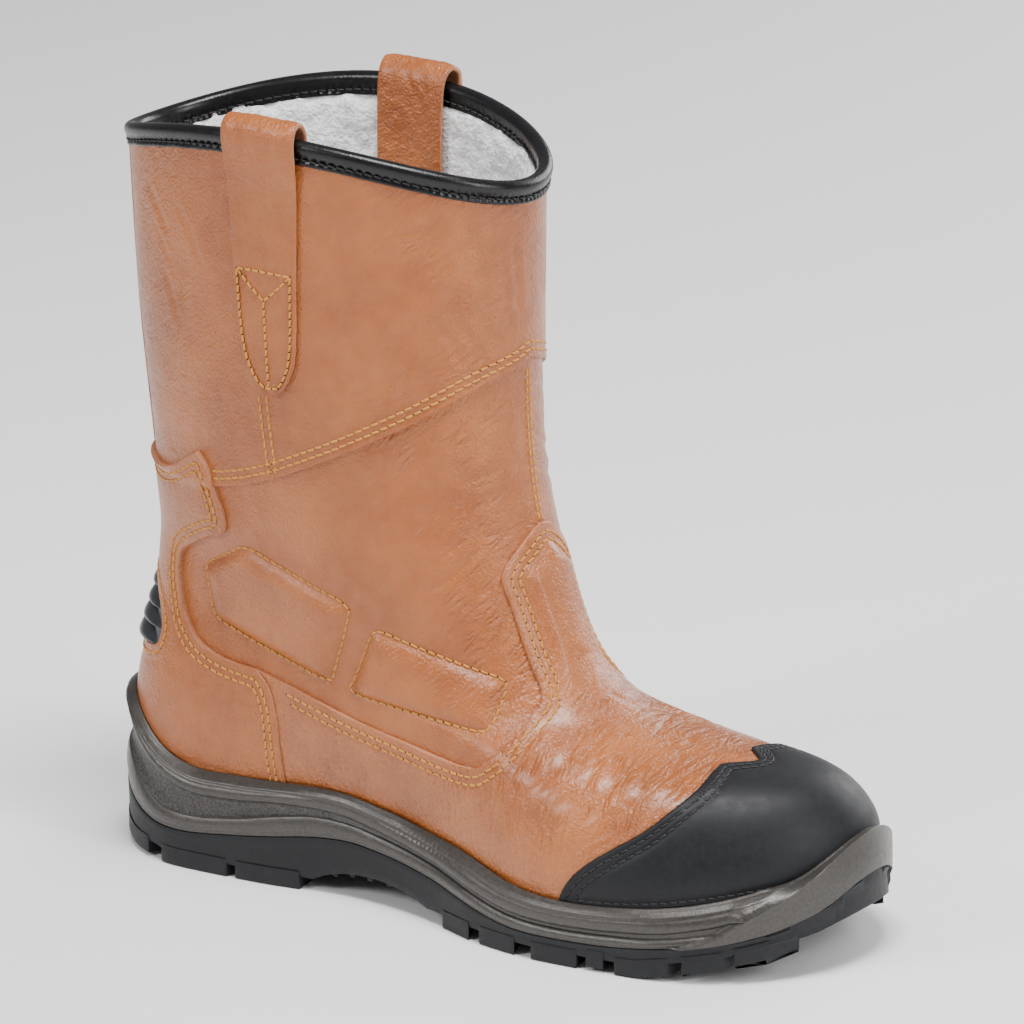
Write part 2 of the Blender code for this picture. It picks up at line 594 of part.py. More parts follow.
def build_outsole(girth):
    names = dict(zip(SIDE_COLUMNS, range(len(SIDE_COLUMNS))))
    tread = np.array(TREAD) * MM

    def underside(x):
        return np.interp(x, tread[:, 0], tread[:, 1])

    rows = []
    for share, grow in ((0, -1.5), (.25, .4), (1, .8)):
        plan = sole_outline(grow * MM, girth)
        low = underside(plan[:, 0])
        joint = along(SOLE_SIDE, plan[:, 0], names["joint"]) - GAP
        rows.append(np.column_stack([plan, low + (joint - low) * share]))
    outsole = capped_solid("outsole", rows, "rubber_black")
    arch = prism("arch_cutter", [(x * MM, z * MM) for x, z in ARCH])
    subtract(outsole, arch)
    for number, (x, width, depth, slant) in enumerate(GROOVES):
        for side in (-1, 1):
            subtract(outsole, groove_cutter(f"groove_{number}_{side}", x, width, depth, slant, side))
    return outsole


def prism(name, outline, half=.1):
    """Cutter: an outline in x and z drawn out across the boot."""
    count = len(outline)
    vertices = [(x, side * half, z) for side in (-1, 1) for x, z in outline]
    faces = [tuple(range(count)), tuple(range(2 * count - 1, count - 1, -1))]
    faces += [(i, (i + 1) % count, count + (i + 1) % count, count + i) for i in range(count)]
    return as_cutter(new_object(name, vertices, faces, "rubber_black"))


def groove_cutter(name, x, width, depth, slant, side):
    """Cutter: a groove that slants away from the middle line to one edge."""
    inner, outer = side * 7 * MM, side * 80 * MM
    reach = (abs(outer) - abs(inner)) / (50 * MM) * slant * MM
    low, top = -5 * MM, depth * MM + float(np.interp(x, *np.array(TREAD).T)) * MM
    half = width / 2 * MM
    corners = [(x * MM - half, inner), (x * MM + half, inner),
               (x * MM + half - reach, outer), (x * MM - half - reach, outer)]
    vertices = [(a, b, z) for z in (low, top) for a, b in corners]
    faces = [(0, 1, 2, 3), (7, 6, 5, 4)] + [(i, (i + 1) % 4, 4 + (i + 1) % 4, 4 + i) for i in range(4)]
    return as_cutter(new_object(name, vertices, faces, "rubber_black"))


def as_cutter(obj):
    obj.hide_render = True
    obj.display_type = "WIRE"
    return obj


def subtract(obj, cutter):
    cut = obj.modifiers.new(cutter.name, "BOOLEAN")
    cut.operation, cut.object, cut.solver = "DIFFERENCE", cutter, "EXACT"


def build_panels(grid):
    counter = mirrored(HEEL_SEAM + COUNTER_TOP, 0)
    vamp = mirrored([(180 - g, h) for g, h in HEEL_SEAM] + list(VAMP_TOP), 180)
    cap = mirrored(TOE_CAP_EDGE, 180)
    vamp = outline_less(vamp, TOE_CAP_EDGE)
    panel_solid("counter", grid, counter, PANEL_THICKNESS, "tan_leather", [mirrored_closed(WINDOW, 0)])
    panel_solid("vamp", grid, vamp, PANEL_THICKNESS, "tan_leather")
    panel_solid("toe_cap", grid, cap, TOE_CAP_THICKNESS, "cap_black")
    for name, pad in (("rear", REAR_PAD), ("front", FRONT_PAD)):
        lateral = [(math.radians(g), h) for g, h in pad]
        medial = [(math.radians(360 - g), h) for g, h in pad]
        panel_solid(f"ankle_pad_{name}_lateral", grid, lateral, PAD_THICKNESS, "tan_leather")
        panel_solid(f"ankle_pad_{name}_medial", grid, medial, PAD_THICKNESS, "tan_leather")


def outline_less(vamp, edge):
    """Vamp outline that runs along the toe cap's edge instead of around the toe."""
    front = [(math.radians(180 - g), h) for g, h in edge]
    back = [(math.radians(180 + g), h) for g, h in edge[:-1]]
    # the vamp's own points run from the lateral heel seam over the top to the medial one
    return vamp + front + back[::-1]


def mirrored_closed(half, centre):
    ahead = [(math.radians(centre + g), h) for g, h in half]
    behind = [(math.radians(centre - g), h) for g, h in half if g > 0]
    return ahead + behind[::-1]


def main():
    for obj in list(bpy.data.objects):
        bpy.data.objects.remove(obj, do_unlink=True)
    grid = UpperGrid()
    girth = grid.girth[:-1]
    build_outsole(girth)
    build_midsole(girth)
    build_insole(girth)
    build_upper(grid)
    build_panels(grid)
    build_back_strip(grid)
    build_ribs(grid)
    build_binding(grid)
    for side in LOOP_MIDDLE:
        build_loop(side)


if __name__ == "__main__":
    main()
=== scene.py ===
"""Dressed model of a pull-on rigger boot for the right foot, with its floor, light and camera."""
import logging
import math
from dataclasses import dataclass, field
from enum import Enum
from typing import Callable, Iterable, Sequence

import bpy
import numpy as np
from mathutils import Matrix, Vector
from mathutils.geometry import delaunay_2d_cdt
from mathutils.kdtree import KDTree


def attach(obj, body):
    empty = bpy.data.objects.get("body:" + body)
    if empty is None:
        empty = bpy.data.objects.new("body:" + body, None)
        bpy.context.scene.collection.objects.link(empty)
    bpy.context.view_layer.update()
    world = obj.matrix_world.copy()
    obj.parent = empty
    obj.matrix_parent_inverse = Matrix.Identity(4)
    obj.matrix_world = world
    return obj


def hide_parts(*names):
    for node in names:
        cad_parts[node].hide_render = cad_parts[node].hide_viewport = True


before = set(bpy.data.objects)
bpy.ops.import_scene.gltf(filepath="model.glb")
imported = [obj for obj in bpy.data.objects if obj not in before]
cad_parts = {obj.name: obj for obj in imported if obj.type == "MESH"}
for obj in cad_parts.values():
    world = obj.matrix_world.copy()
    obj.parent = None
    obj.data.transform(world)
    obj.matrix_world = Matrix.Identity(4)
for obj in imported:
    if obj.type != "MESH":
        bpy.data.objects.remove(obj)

LOG = logging.getLogger("rigger_boot")
Array = np.ndarray

MM = 0.001
ORIGIN = np.array((-153.63, 1.23, 0)) * MM   # from the sole's back to the middle of the boot
SHAFT_STEP = 1.3 * MM                         # the shaft's leather laps over the quarter
RIM_LIFT = 15.5 * MM                          # the collar's sides above its front and back

# The last, ring by ring, from the feather line up, in millimetres.
# x runs forward from the sole's back, z up from the floor.
RING_COLUMNS = ("back_x", "back_z", "front_x", "front_z",
                "heel_half", "waist_half", "ball_half", "back_round", "front_round")
RINGS = np.array([
    (7,     33,  300,   30,    33.5, 30.5, 50,   40, 72),
    (5,     46,  303,   42,    35.8, 34.5, 51.5, 41, 74),
    (5,     59,  299,   54,    36.8, 38,   49.5, 42, 80),
    (7,     71,  287,   63,    36.5, 40,   45,   42, 90),
    (9,     82,  264,   66.5,  35.5, 41,   42,   42, 105),
    (11,    92,  238,   69.5,  35,   41.5, 42,   44, 112),
    (12,    102, 216,   75.5,  35,   42,   42,   46, 105),
    (13,    113, 200,   86,    36.5, 43,   43,   50, 95),
    (13.5,  125, 189,   99,    39,   45,   45,   58, 86),
    (12.5,  139, 181,   117,   43,   47,   47,   66, 80),
    (11,    154, 174,   138,   46,   48,   48,   74, 77),
    (9,     172, 169,   163,   48,   49,   49,   78, 77),
    (6,     199, 167,   196,   49.5, 50,   50,   81, 79),
    (3.5,   234, 167,   233,   50,   50.5, 50.5, 82, 81),
    (1.5,   271, 168,   270.5, 50.5, 51,   51,   83, 83),
]) * MM
HEEL_AT, WAIST_AT, BALL_AT = 45 * MM, 130 * MM, 215 * MM

SEAT_COLUMNS = ("x", "z")                     # the last's underside
SEAT = np.array([(0, 33), (45, 31), (95, 28), (140, 22), (190, 17.5),
                 (220, 17), (250, 19.5), (280, 25), (300, 30)]) * MM
CENTRE_COLUMNS = ("x", "y")                   # the curve of a right foot
CENTRE = np.array([(0, -3), (60, -3.5), (120, -3), (165, -2.5),
                   (205, -3.5), (240, -1), (275, 4), (308, 8)]) * MM

# Panel outlines for one side, as girth angle and height share.  Those at the
# back count the angle from the heel's back, those at the front from the toe.
OUTLINE_COLUMNS = ("girth", "height")
DIAGONAL_SEAM = ((0, .875), (24.5, .856), (51.5, .814), (83, .755), (93, .735),
                 (112, .705), (140, .690), (180, .686))
HEEL_SEAM = ((63, .016), (63, .062), (63.2, .126), (63.6, .220), (63.6, .280), (62.6, .309))
COUNTER_TOP = ((54.8, .310), (48.2, .333), (43.8, .384), (41.8, .455), (41.5, .520),
               (43.5, .556), (50, .585), (60, .620), (65.6, .634), (67.4, .656), (66.4, .696),
               (65.0, .730), (62.0, .744), (55, .727), (46.8, .708), (37.5, .697), (20, .700),
               (0, .704))
VAMP_TOP = ((111, .294), (101.8, .265), (92, .240), (83.5, .225), (79.5, .226), (75, .250),
            (65, .312), (54.8, .373), (42, .440), (33.5, .480), (30, .511), (28, .550),
            (26.3, .600), (26, .640), (26.2, .672), (22.5, .690), (13, .714), (5, .728), (0, .731))
TOE_CAP_EDGE = ((65.4, .016), (65.4, .044), (63.6, .082), (60.2, .114), (55.4, .142), (49.8, .169),
                (43.2, .203), (36.4, .232), (25.8, .271), (17.0, .295), (13.2, .301), (8, .297),
                (0, .288))
REAR_PAD = ((306.6, .555), (288.2, .626), (257.4, .592), (278.0, .358), (306.2, .426))
FRONT_PAD = ((252.8, .564), (219.6, .513), (246.0, .345), (274.6, .348))
WINDOW = ((0, .262), (23, .262), (29, .272), (31.5, .300), (31, .345), (26, .400), (19, .432),
          (0, .440))
PLANE = np.array([52 * MM, 290 * MM])         # in which the outlines are drawn smooth

UP = np.array((0, 0, 1))
ROW_TROUGH, ROW_DEPTH = .8 * MM, .28 * MM     # width and depth of the trough that a stitch row presses

# Whole numbers that scramble cell numbers into noise.
CELL_KEY = np.array([73856093, 19349663, 83492791])
KEY_STIR, KEY_STIR_AGAIN, KEY_LIMIT = 1274126177, 668265263, 0xFFFFFFF


class Side(Enum):
    """Sides of the boot; the value is the sign of y."""
    LATERAL = -1
    MEDIAL = 1


def smooth(value: Array) -> Array:
    """Smooth step from 0 to 1."""
    value = np.clip(value, 0, 1)
    return value * value * (3 - 2 * value)


def round_end(share: Array) -> Array:
    """Height of an elliptic end, 0 at its tip and 1 where it is full."""
    return np.sqrt(np.maximum(0, 1 - (1 - np.clip(share, 0, 1)) ** 2))


def bell(value: Array, width: float) -> Array:
    """Soft bump of height 1 about zero."""
    return np.exp(-(value / width) ** 2)


def edge_rounding(gap: Array, radius: float) -> Array:
    """Drop of a rounded edge at distances from it."""
    arc = np.sqrt(np.maximum(radius * radius - (radius - gap) ** 2, 0))
    return np.where(gap < radius, arc - radius, 0)


def closed_seam(across: Array, rise: float, width: float, row: float) -> Array:
    """Stand-off of a closed seam: a low ridge with a stitched trough on either side.

    Args:
        across: Distances from the seam's middle.
        rise: Height of the ridge.
        width: Width of the ridge.
        row: Distance of each stitch row from the middle.

    Returns:
        The stand-off at each distance.
    """
    troughs = bell(across - row, .7 * MM) + bell(across + row, .7 * MM)
    return rise * bell(across, width) - .34 * MM * troughs


def run_along(points: Array) -> Array:
    """Distance covered along a row of points, from 0 at the first."""
    return np.concatenate([[0], np.cumsum(np.linalg.norm(np.diff(points, axis=0), axis=1))])


def turn_of(places: Array) -> Array:
    """Girth angles of places in degrees, from 0 to 360."""
    return np.degrees(np.mod(places[:, 0], 2 * np.pi))


def spline(rows: Array, share: Array) -> Array:
    """Natural cubic through equally spaced rows.

    Args:
        rows: Rows of values.
        share: Places from 0 at the first row to 1 at the last.

    Returns:
        One row of values for each place.
    """
    count = len(rows)
    system = np.eye(count)
    for i in range(1, count - 1):
        system[i, i - 1:i + 2] = (1, 4, 1)
    bend = np.zeros_like(rows, float)
    bend[1:-1] = 6 * (rows[2:] - 2 * rows[1:-1] + rows[:-2])
    bend = np.linalg.solve(system, bend)
    place = np.clip(share, 0, 1) * (count - 1)
    i = np.minimum(place.astype(int), count - 2)
    u = (place - i)[..., None]
    w = 1 - u
    return w * rows[i] + u * rows[i + 1] + ((w ** 3 - w) * bend[i] + (u ** 3 - u) * bend[i + 1]) / 6


def along(table: Array, x: Array, column: int = 1) -> Array:
    """Smooth value of one column of a table at places x along its first."""
    xs, values = table[:, 0], table[:, column]
    slope = np.gradient(values, xs)
    i = np.clip(np.searchsorted(xs, x) - 1, 0, len(xs) - 2)
    step = xs[i + 1] - xs[i]
    u = np.clip((x - xs[i]) / step, 0, 1)
    return ((2 * u ** 3 - 3 * u ** 2 + 1) * values[i] + (u ** 3 - 2 * u ** 2 + u) * step * slope[i]
            + (3 * u ** 2 - 2 * u ** 3) * values[i + 1] + (u ** 3 - u ** 2) * step * slope[i + 1])


def cloud(points: Array, size: float, seed: int = 0) -> Array:
    """Smooth seeded noise from -1 to 1 with features of one size.

    Args:
        points: Points in space.
        size: Distance over which the noise changes.
        seed: Chooses the pattern.

    Returns:
        One value for each point.
    """
    place = points / size + seed * 17.3
    cell = np.floor(place).astype(np.int64)
    u = place - cell
    u = u * u * (3 - 2 * u)
    total = np.zeros(len(points))
    for corner in range(8):
        step = np.array([corner & 1, corner >> 1 & 1, corner >> 2 & 1])
        key = (cell + step) @ CELL_KEY
        key = (key ^ (key >> 13)) * KEY_STIR & KEY_LIMIT
        key = (key ^ (key >> 11)) * KEY_STIR_AGAIN & KEY_LIMIT
        weight = np.prod(np.where(step, u, 1 - u), axis=1)
        total += weight * (key / 0x7FFFFFF - 1)
    return total


class Last:
    """Form of the foot that the boot is drawn on."""

    @staticmethod
    def point(places: Array) -> Array:
        """Points of the last at places of girth angle and height share."""
        girth, height = places[..., 0], places[..., 1]
        (back_x, back_z, front_x, front_z, heel, waist, ball,
         back_round, front_round) = np.moveaxis(spline(RINGS, height), -1, 0)
        share = (1 - np.cos(girth)) / 2
        length = front_x - back_x
        x = back_x + length * share
        drop = along(SEAT, x) - (along(SEAT, back_x) * (1 - share) + along(SEAT, front_x) * share)
        z = back_z + (front_z - back_z) * share + drop * (1 - smooth(height / .5))
        z = z + RIM_LIFT * smooth((height - .55) / .45) * np.sin(girth) ** 2
        half = (heel + (waist - heel) * smooth((x - HEEL_AT) / (WAIST_AT - HEEL_AT))
                + (ball - waist) * smooth((x - WAIST_AT) / (BALL_AT - WAIST_AT)))
        half = (half * round_end(length * share / back_round)
                * round_end(length * (1 - share) / front_round))
        centre = along(CENTRE, x) * (1 - smooth((height - .15) / .45))
        side = np.where(np.sin(girth) >= 0, 1, -1)
        return np.stack([x, side * half + centre, z], -1) + ORIGIN

    @staticmethod
    def slopes(places: Array) -> tuple[Array, Array]:
        """Change of the point with girth angle and with height share."""
        e = np.array((5e-4, 1e-4))
        low, high = places.copy(), places.copy()
        low[..., 1] = np.clip(places[..., 1] - e[1], 1e-4, 1 - 3e-4)
        high[..., 1] = low[..., 1] + 2 * e[1]
        up = (Last.point(high) - Last.point(low)) / (2 * e[1])
        turn = (Last.point(places + (e[0], 0)) - Last.point(places - (e[0], 0))) / (2 * e[0])
        return turn, up

    @staticmethod
    def normal(places: Array) -> Array:
        """Outward unit normals at places."""
        turn, up = Last.slopes(places)
        normal = np.cross(up, turn)
        return normal / np.linalg.norm(normal, axis=-1, keepdims=True)

    @staticmethod
    def off(places: Array, stand_off: Array | float) -> Array:
        """Points that stand off the last along its normals."""
        stand_off = np.broadcast_to(stand_off, places.shape[:-1])
        return Last.point(places) + Last.normal(places) * stand_off[..., None]

    @staticmethod
    def walk(places: Array, move: Array) -> Array:
        """Places that lie a short move away on the last.

        Args:
            places: Starting places.
            move: One move in space for each.

        Returns:
            The places reached.
        """
        target = Last.point(places) + move
        here = places.copy()
        for _ in range(4):
            turn, up = Last.slopes(here)
            miss = target - Last.point(here)
            a, b, c = (turn * turn).sum(-1), (turn * up).sum(-1), (up * up).sum(-1)
            p, q = (turn * miss).sum(-1), (up * miss).sum(-1)
            room = a * c - b * b
            here = here + np.stack([(c * p - b * q) / room, (a * q - b * p) / room], -1)
            here[..., 1] = np.clip(here[..., 1], 0, 1)
        return here


def seam_height(girth: Array) -> Array:
    """Height share of the diagonal seam at girth angles."""
    from_front = np.degrees(np.abs(np.mod(girth, 2 * np.pi) - np.pi))
    return along(np.array(DIAGONAL_SEAM, float), from_front)


def shaft_lift(places: Array) -> Array:
    """Stand-off of the leather that panels are laid on: the shaft's lap over the quarter."""
    return SHAFT_STEP * smooth((places[..., 1] - seam_height(places[..., 0])) / .012 + .5)


def mirrored(half: Sequence, centre: float, closed: bool = False) -> Array:
    """Outline on both sides of a girth angle, in radians."""
    ahead = [(math.radians(centre + girth), height) for girth, height in half]
    behind = [(math.radians(centre - girth), height) for girth, height in half]
    if abs(half[-1][0]) < 1e-9:
        behind = behind[:-1]
    if closed and abs(half[0][0]) < 1e-9:
        behind = behind[1:]
    return np.array(ahead + behind[::-1])


def on_side(outline: Sequence, side: Side) -> Array:
    """Outline given on the lateral side, in radians on either side."""
    return np.array([(math.radians(g if side is Side.LATERAL else 360 - g), h) for g, h in outline])


def tangent(before: Array, here: Array, after: Array) -> Array:
    """Direction of a curve at a point, or zero where it has a corner."""
    a, b = here - before, after - here
    a, b = a / max(np.linalg.norm(a), 1e-9), b / max(np.linalg.norm(b), 1e-9)
    if a @ b < .5:
        return b * 0
    return (a + b) / np.linalg.norm(a + b)


def drawn(outline: Array, closed: bool = True, spacing: float = .8 * MM) -> Array:
    """Smooth dense curve through an outline's places, with its sharp corners kept."""
    points = outline * PLANE
    count = len(points)
    result = []
    for i in range(count if closed else count - 1):
        if closed:
            p0, p1, p2, p3 = (points[(i + k) % count] for k in (-1, 0, 1, 2))
        else:
            p1, p2 = points[i], points[i + 1]
            p0 = points[i - 1] if i else 2 * p1 - p2
            p3 = points[i + 2] if i + 2 < count else 2 * p2 - p1
        span = np.linalg.norm(p2 - p1)
        u = (np.arange(max(1, round(span / spacing))) / max(1, round(span / spacing)))[:, None]
        t1, t2 = tangent(p0, p1, p2) * span, tangent(p1, p2, p3) * span
        result.append((2 * u ** 3 - 3 * u ** 2 + 1) * p1 + (u ** 3 - 2 * u ** 2 + u) * t1
                      + (3 * u ** 2 - 2 * u ** 3) * p2 + (u ** 3 - u ** 2) * t2)
    if not closed:
        result.append(points[-1:])
    return np.concatenate(result) / PLANE


def resampled(places: Array, step: float, closed: bool = False) -> Array:
    """Places spaced evenly in space along a curve on the last."""
    if closed:
        places = np.concatenate([places, places[:1]])
    run = run_along(Last.point(places))
    count = max(2, round(run[-1] / step) + 1)
    at = np.linspace(0, run[-1], count)
    result = np.column_stack([np.interp(at, run, places[:, k]) for k in (0, 1)])
    return result[:-1] if closed else result


def inside(places: Array, polygon: Array) -> Array:
    """Whether each place lies inside a closed polygon."""
    result = np.zeros(len(places), bool)
    xa, ya = polygon.T
    xb, yb = np.roll(polygon, -1, 0).T
    batch = 4000
    for first in range(0, len(places), batch):
        x, y = places[first:first + batch, 0:1], places[first:first + batch, 1:2]
        crosses = (ya > y) != (yb > y)
        with np.errstate(divide="ignore", invalid="ignore"):
            at = (xb - xa) * (y - ya) / (yb - ya) + xa
        result[first:first + batch] = np.count_nonzero(crosses & (x < at), axis=1) % 2 == 1
    return result


class Nearness:
    """Distances in space from points to curves on the last."""

    def __init__(self, curves: Iterable[Array]) -> None:
        """Takes closed curves, given by their places."""
        points = np.concatenate([Last.point(resampled(c, .3 * MM, True)) for c in curves])
        self.tree = KDTree(len(points))
        for i, point in enumerate(points):
            self.tree.insert(point, i)
        self.tree.balance()

    def distance(self, points: Array) -> Array:
        """Distance of each point from the nearest curve."""
        gaps = [self.tree.find(p)[2] for p in points.reshape(-1, 3)]
        return np.array(gaps).reshape(points.shape[:-1])


def beside(curve: Array, distance: float, hole: bool = False) -> Array:
    """Closed curve moved inwards on the last.

    Args:
        curve: Places along the curve.
        distance: How far it moves.
        hole: Whether the curve is a hole, so that it moves outwards.

    Returns:
        Places along the moved curve, without the loops that form at corners.
    """
    curve = resampled(curve, .6 * MM, True)
    points = Last.point(curve)
    run = np.roll(points, -1, 0) - np.roll(points, 1, 0)
    ahead = np.roll(curve, -1, 0)
    sign = np.sign(np.sum(curve[:, 0] * ahead[:, 1] - ahead[:, 0] * curve[:, 1]))
    sign = -sign if hole else sign
    run /= np.maximum(np.linalg.norm(run, axis=1, keepdims=True), 1e-9)
    # girth runs to the left seen from outside, so left of the run is along run x normal
    across = np.cross(run, Last.normal(curve)) * sign
    moved = Last.walk(curve, across * distance)
    near = Nearness([curve]).distance(Last.point(moved))
    return moved[near > abs(distance) * .965 - .02 * MM]


def make_object(name: str, vertices: Array, faces: Iterable[Array],
                finishes: Sequence[bpy.types.Material], face_finish: Array | None = None,
                sharp: float | None = 50,
                values: dict[str, Array] | None = None) -> bpy.types.Object:
    """Mesh object in the boot's own frame, riding on its body.

    Args:
        name: Object name.
        vertices: Points.
        faces: Arrays of triangles or quads, by vertex number.
        finishes: Materials.
        face_finish: Material number of each face.
        sharp: Angle in degrees above which edges are sharp, or None.
        values: Named values kept on the vertices for the materials.

    Returns:
        The new object.
    """
    mesh = bpy.data.meshes.new(name)
    faces = [np.asarray(f, np.int32) for f in faces if len(f)]
    loops = np.concatenate([f.ravel() for f in faces])
    totals = np.concatenate([np.full(len(f), f.shape[1], np.int32) for f in faces])
    mesh.vertices.add(len(vertices))
    mesh.vertices.foreach_set("co", np.asarray(vertices, np.float32).ravel())
    mesh.loops.add(len(loops))
    mesh.loops.foreach_set("vertex_index", loops)
    mesh.polygons.add(len(totals))
    starts = np.concatenate([[0], np.cumsum(totals)[:-1]])
    mesh.polygons.foreach_set("loop_start", starts.astype(np.int32))
    mesh.polygons.foreach_set("loop_total", totals)
    if face_finish is not None:
        mesh.polygons.foreach_set("material_index", np.asarray(face_finish, np.int32))
    mesh.update(calc_edges=True)
    mesh.shade_smooth()
    if sharp is not None:
        mesh.set_sharp_from_angle(angle=math.radians(sharp))
    for key, value in (values or {}).items():
        attribute = mesh.attributes.new(key, "FLOAT", "POINT")
        attribute.data.foreach_set("value", np.asarray(value, np.float32))
    for finish in finishes:
        mesh.materials.append(finish)
    obj = bpy.data.objects.new(name, mesh)
    bpy.context.collection.objects.link(obj)
    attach(obj, "root")
    return obj


def quads(rows: int, columns: int, around: bool = True, flip: bool = False) -> Array:
    """Quads between neighbouring rows of a grid of points."""
    i, j = np.meshgrid(np.arange(rows - 1), np.arange(columns if around else columns - 1),
                       indexing="ij")
    ahead = (j + 1) % columns
    here, below = i * columns, (i + 1) * columns
    face = np.stack([here + j, here + ahead, below + ahead, below + j], -1).reshape(-1, 4)
    return face[:, ::-1] if flip else face


def report(obj: bpy.types.Object) -> None:
    """Logs what a piece measures."""
    LOG.info("%s: %d faces", obj.name, len(obj.data.polygons))


class Nodes:
    """Short way to build a material's node tree."""

    def __init__(self, name: str) -> None:
        """Makes the material, with its shader and coordinates in the boot's own frame."""
        self.material = bpy.data.materials.new(name)
        self.material.use_nodes = True
        self.tree = self.material.node_tree
        self.shader = self.tree.nodes["Principled BSDF"]
        coordinates = self.tree.nodes.new("ShaderNodeTexCoord")
        self.place = coordinates.outputs["Object"]

    def feed(self, socket: bpy.types.NodeSocket, value: object) -> None:
        """Gives an input socket a value, a colour without its alpha, or a link."""
        if isinstance(value, bpy.types.NodeSocket):
            self.tree.links.new(value, socket)
        elif socket.type == "RGBA":
            socket.default_value = (*value, 1)
        else:
            socket.default_value = value

    def add(self, kind: str, inputs: dict, **settings: object) -> bpy.types.Node:
        """New node; inputs are values or sockets, by name or number."""
        node = self.tree.nodes.new("ShaderNode" + kind)
        for key, value in settings.items():
            setattr(node, key, value)
        for key, value in inputs.items():
            self.feed(node.inputs[key], value)
        return node

    def noise(self, size: float, detail: float = 3) -> bpy.types.NodeSocket:
        """Noise with features of one size in metres."""
        inputs = {"Vector": self.place, "Scale": 1 / size, "Detail": detail}
        return self.add("TexNoise", inputs).outputs["Fac"]

    def cells(self, size: float, place: bpy.types.NodeSocket | None = None,
              feature: str = "F1") -> bpy.types.NodeSocket:
        """Distance in a cell pattern with cells of one size in metres."""
        return self.add("TexVoronoi", {"Vector": place or self.place, "Scale": 1 / size},
                        feature=feature).outputs["Distance"]

    def ramp(self, value: bpy.types.NodeSocket, low: float, high: float,
             start: float = 0, end: float = 1) -> bpy.types.NodeSocket:
        """Value spread from one range to another."""
        return self.add("MapRange", {"Value": value, "From Min": low, "From Max": high,
                                     "To Min": start, "To Max": end}).outputs["Result"]

    def math(self, operation: str, a: object, b: object = 0.0) -> bpy.types.NodeSocket:
        """Result of one sum."""
        return self.add("Math", {0: a, 1: b}, operation=operation).outputs["Value"]

    def mix(self, share: object, a: object, b: object) -> bpy.types.NodeSocket:
        """Mix of two colours, each a tuple or a socket."""
        return self.add("Mix", {0: share, 6: a, 7: b}, data_type="RGBA").outputs[2]

    def stretched(self, scale: tuple, turn: tuple = (0, 0, 0)) -> bpy.types.NodeSocket:
        """Coordinates turned and then scaled, for patterns that run one way."""
        turned = self.add("Mapping", {"Vector": self.place, "Rotation": turn})
        return self.add("Mapping", {"Vector": turned.outputs[0], "Scale": scale}).outputs[0]

    def value(self, name: str) -> bpy.types.NodeSocket:
        """Value kept on the mesh's vertices."""
        return self.add("Attribute", {}, attribute_name=name).outputs["Fac"]

    def set(self, **values: object) -> None:
        """Sets shader inputs; underscores stand for spaces."""
        for key, value in values.items():
            self.feed(self.shader.inputs[key.replace("_", " ")], value)

    def bump(self, *layers: tuple[bpy.types.NodeSocket, float]) -> None:
        """Bump layers, each a height from 0 to 1 and its depth in metres."""
        below = {}
        for height, depth in layers:
            node = self.add("Bump", {"Height": height, "Distance": depth, "Strength": 1.0} | below)
            below = {"Normal": node.outputs["Normal"]}
        self.set(**below)


@dataclass(frozen=True)
class Leather:
    """Smooth tan grain leather with fine creases that run one way, and painted shade that darkens the
    creases.
    """
    name: str
    colour: tuple = (.400, .116, .024)
    # dark tone: used for the broad random tone and for the painted shade in the creases
    dark: tuple = (.290, .074, .014)
    pale: tuple = (.46, .155, .045)
    roughness: float = .33
    crease_scale: tuple = (1, .28, .28)
    crease_turn: tuple = (0, 0, 0)
    crease_size: float = 4.5 * MM
    crease_depth: float = .65 * MM
    coat: float = .12

    def make(self) -> bpy.types.Material:
        """Builds the material."""
        n = Nodes(self.name)
        broad = n.ramp(n.noise(38 * MM, 2), .35, .65)
        mottle = n.ramp(n.noise(7 * MM, 4), .35, .7)
        tone = n.mix(broad, self.dark, self.colour)
        tone = n.mix(n.math("MULTIPLY", mottle, .35), tone, self.pale)
        run = n.stretched(self.crease_scale, self.crease_turn)
        sway = n.add("TexNoise", {"Vector": run, "Scale": 1 / (9 * MM), "Detail": 3})
        sway = n.add("VectorMath", {0: sway.outputs["Color"], 1: (self.crease_size * 1.1,) * 3},
                     operation="MULTIPLY")
        run = n.add("VectorMath", {0: run, 1: sway.outputs[0]}, operation="ADD").outputs[0]
        long = n.ramp(n.cells(self.crease_size * 1.5, run, "DISTANCE_TO_EDGE"), 0, .20, 1, 0)
        short = n.ramp(n.cells(self.crease_size * .62, run, "DISTANCE_TO_EDGE"), 0, .30, .7, 0)
        patch = n.ramp(n.noise(16 * MM, 2), .38, .60, .25, 1)
        crease_and_shade_mask = n.math("MULTIPLY", n.value("crease"), patch)
        fold = n.math("MULTIPLY", n.math("MAXIMUM", long, short), crease_and_shade_mask)
        # painted shade: the colour darkens towards the dark tone where the fine creases run
        tone = n.mix(n.math("MULTIPLY", fold, .45), tone, self.dark)
        grain = n.cells(.95 * MM, feature="SMOOTH_F1")
        pores = n.noise(.5 * MM, 3)
        n.set(Base_Color=tone,
              Roughness=n.ramp(n.noise(2.2 * MM, 3), .3, .7,
                               self.roughness - .05, self.roughness + .07),
              Specular_IOR_Level=.5, Coat_Weight=self.coat, Coat_Roughness=.22)
        n.bump((n.noise(12 * MM, 3), .9 * MM), (n.math("SUBTRACT", 1.0, fold), self.crease_depth),
               (grain, .38 * MM), (pores, .16 * MM))
        return n.material


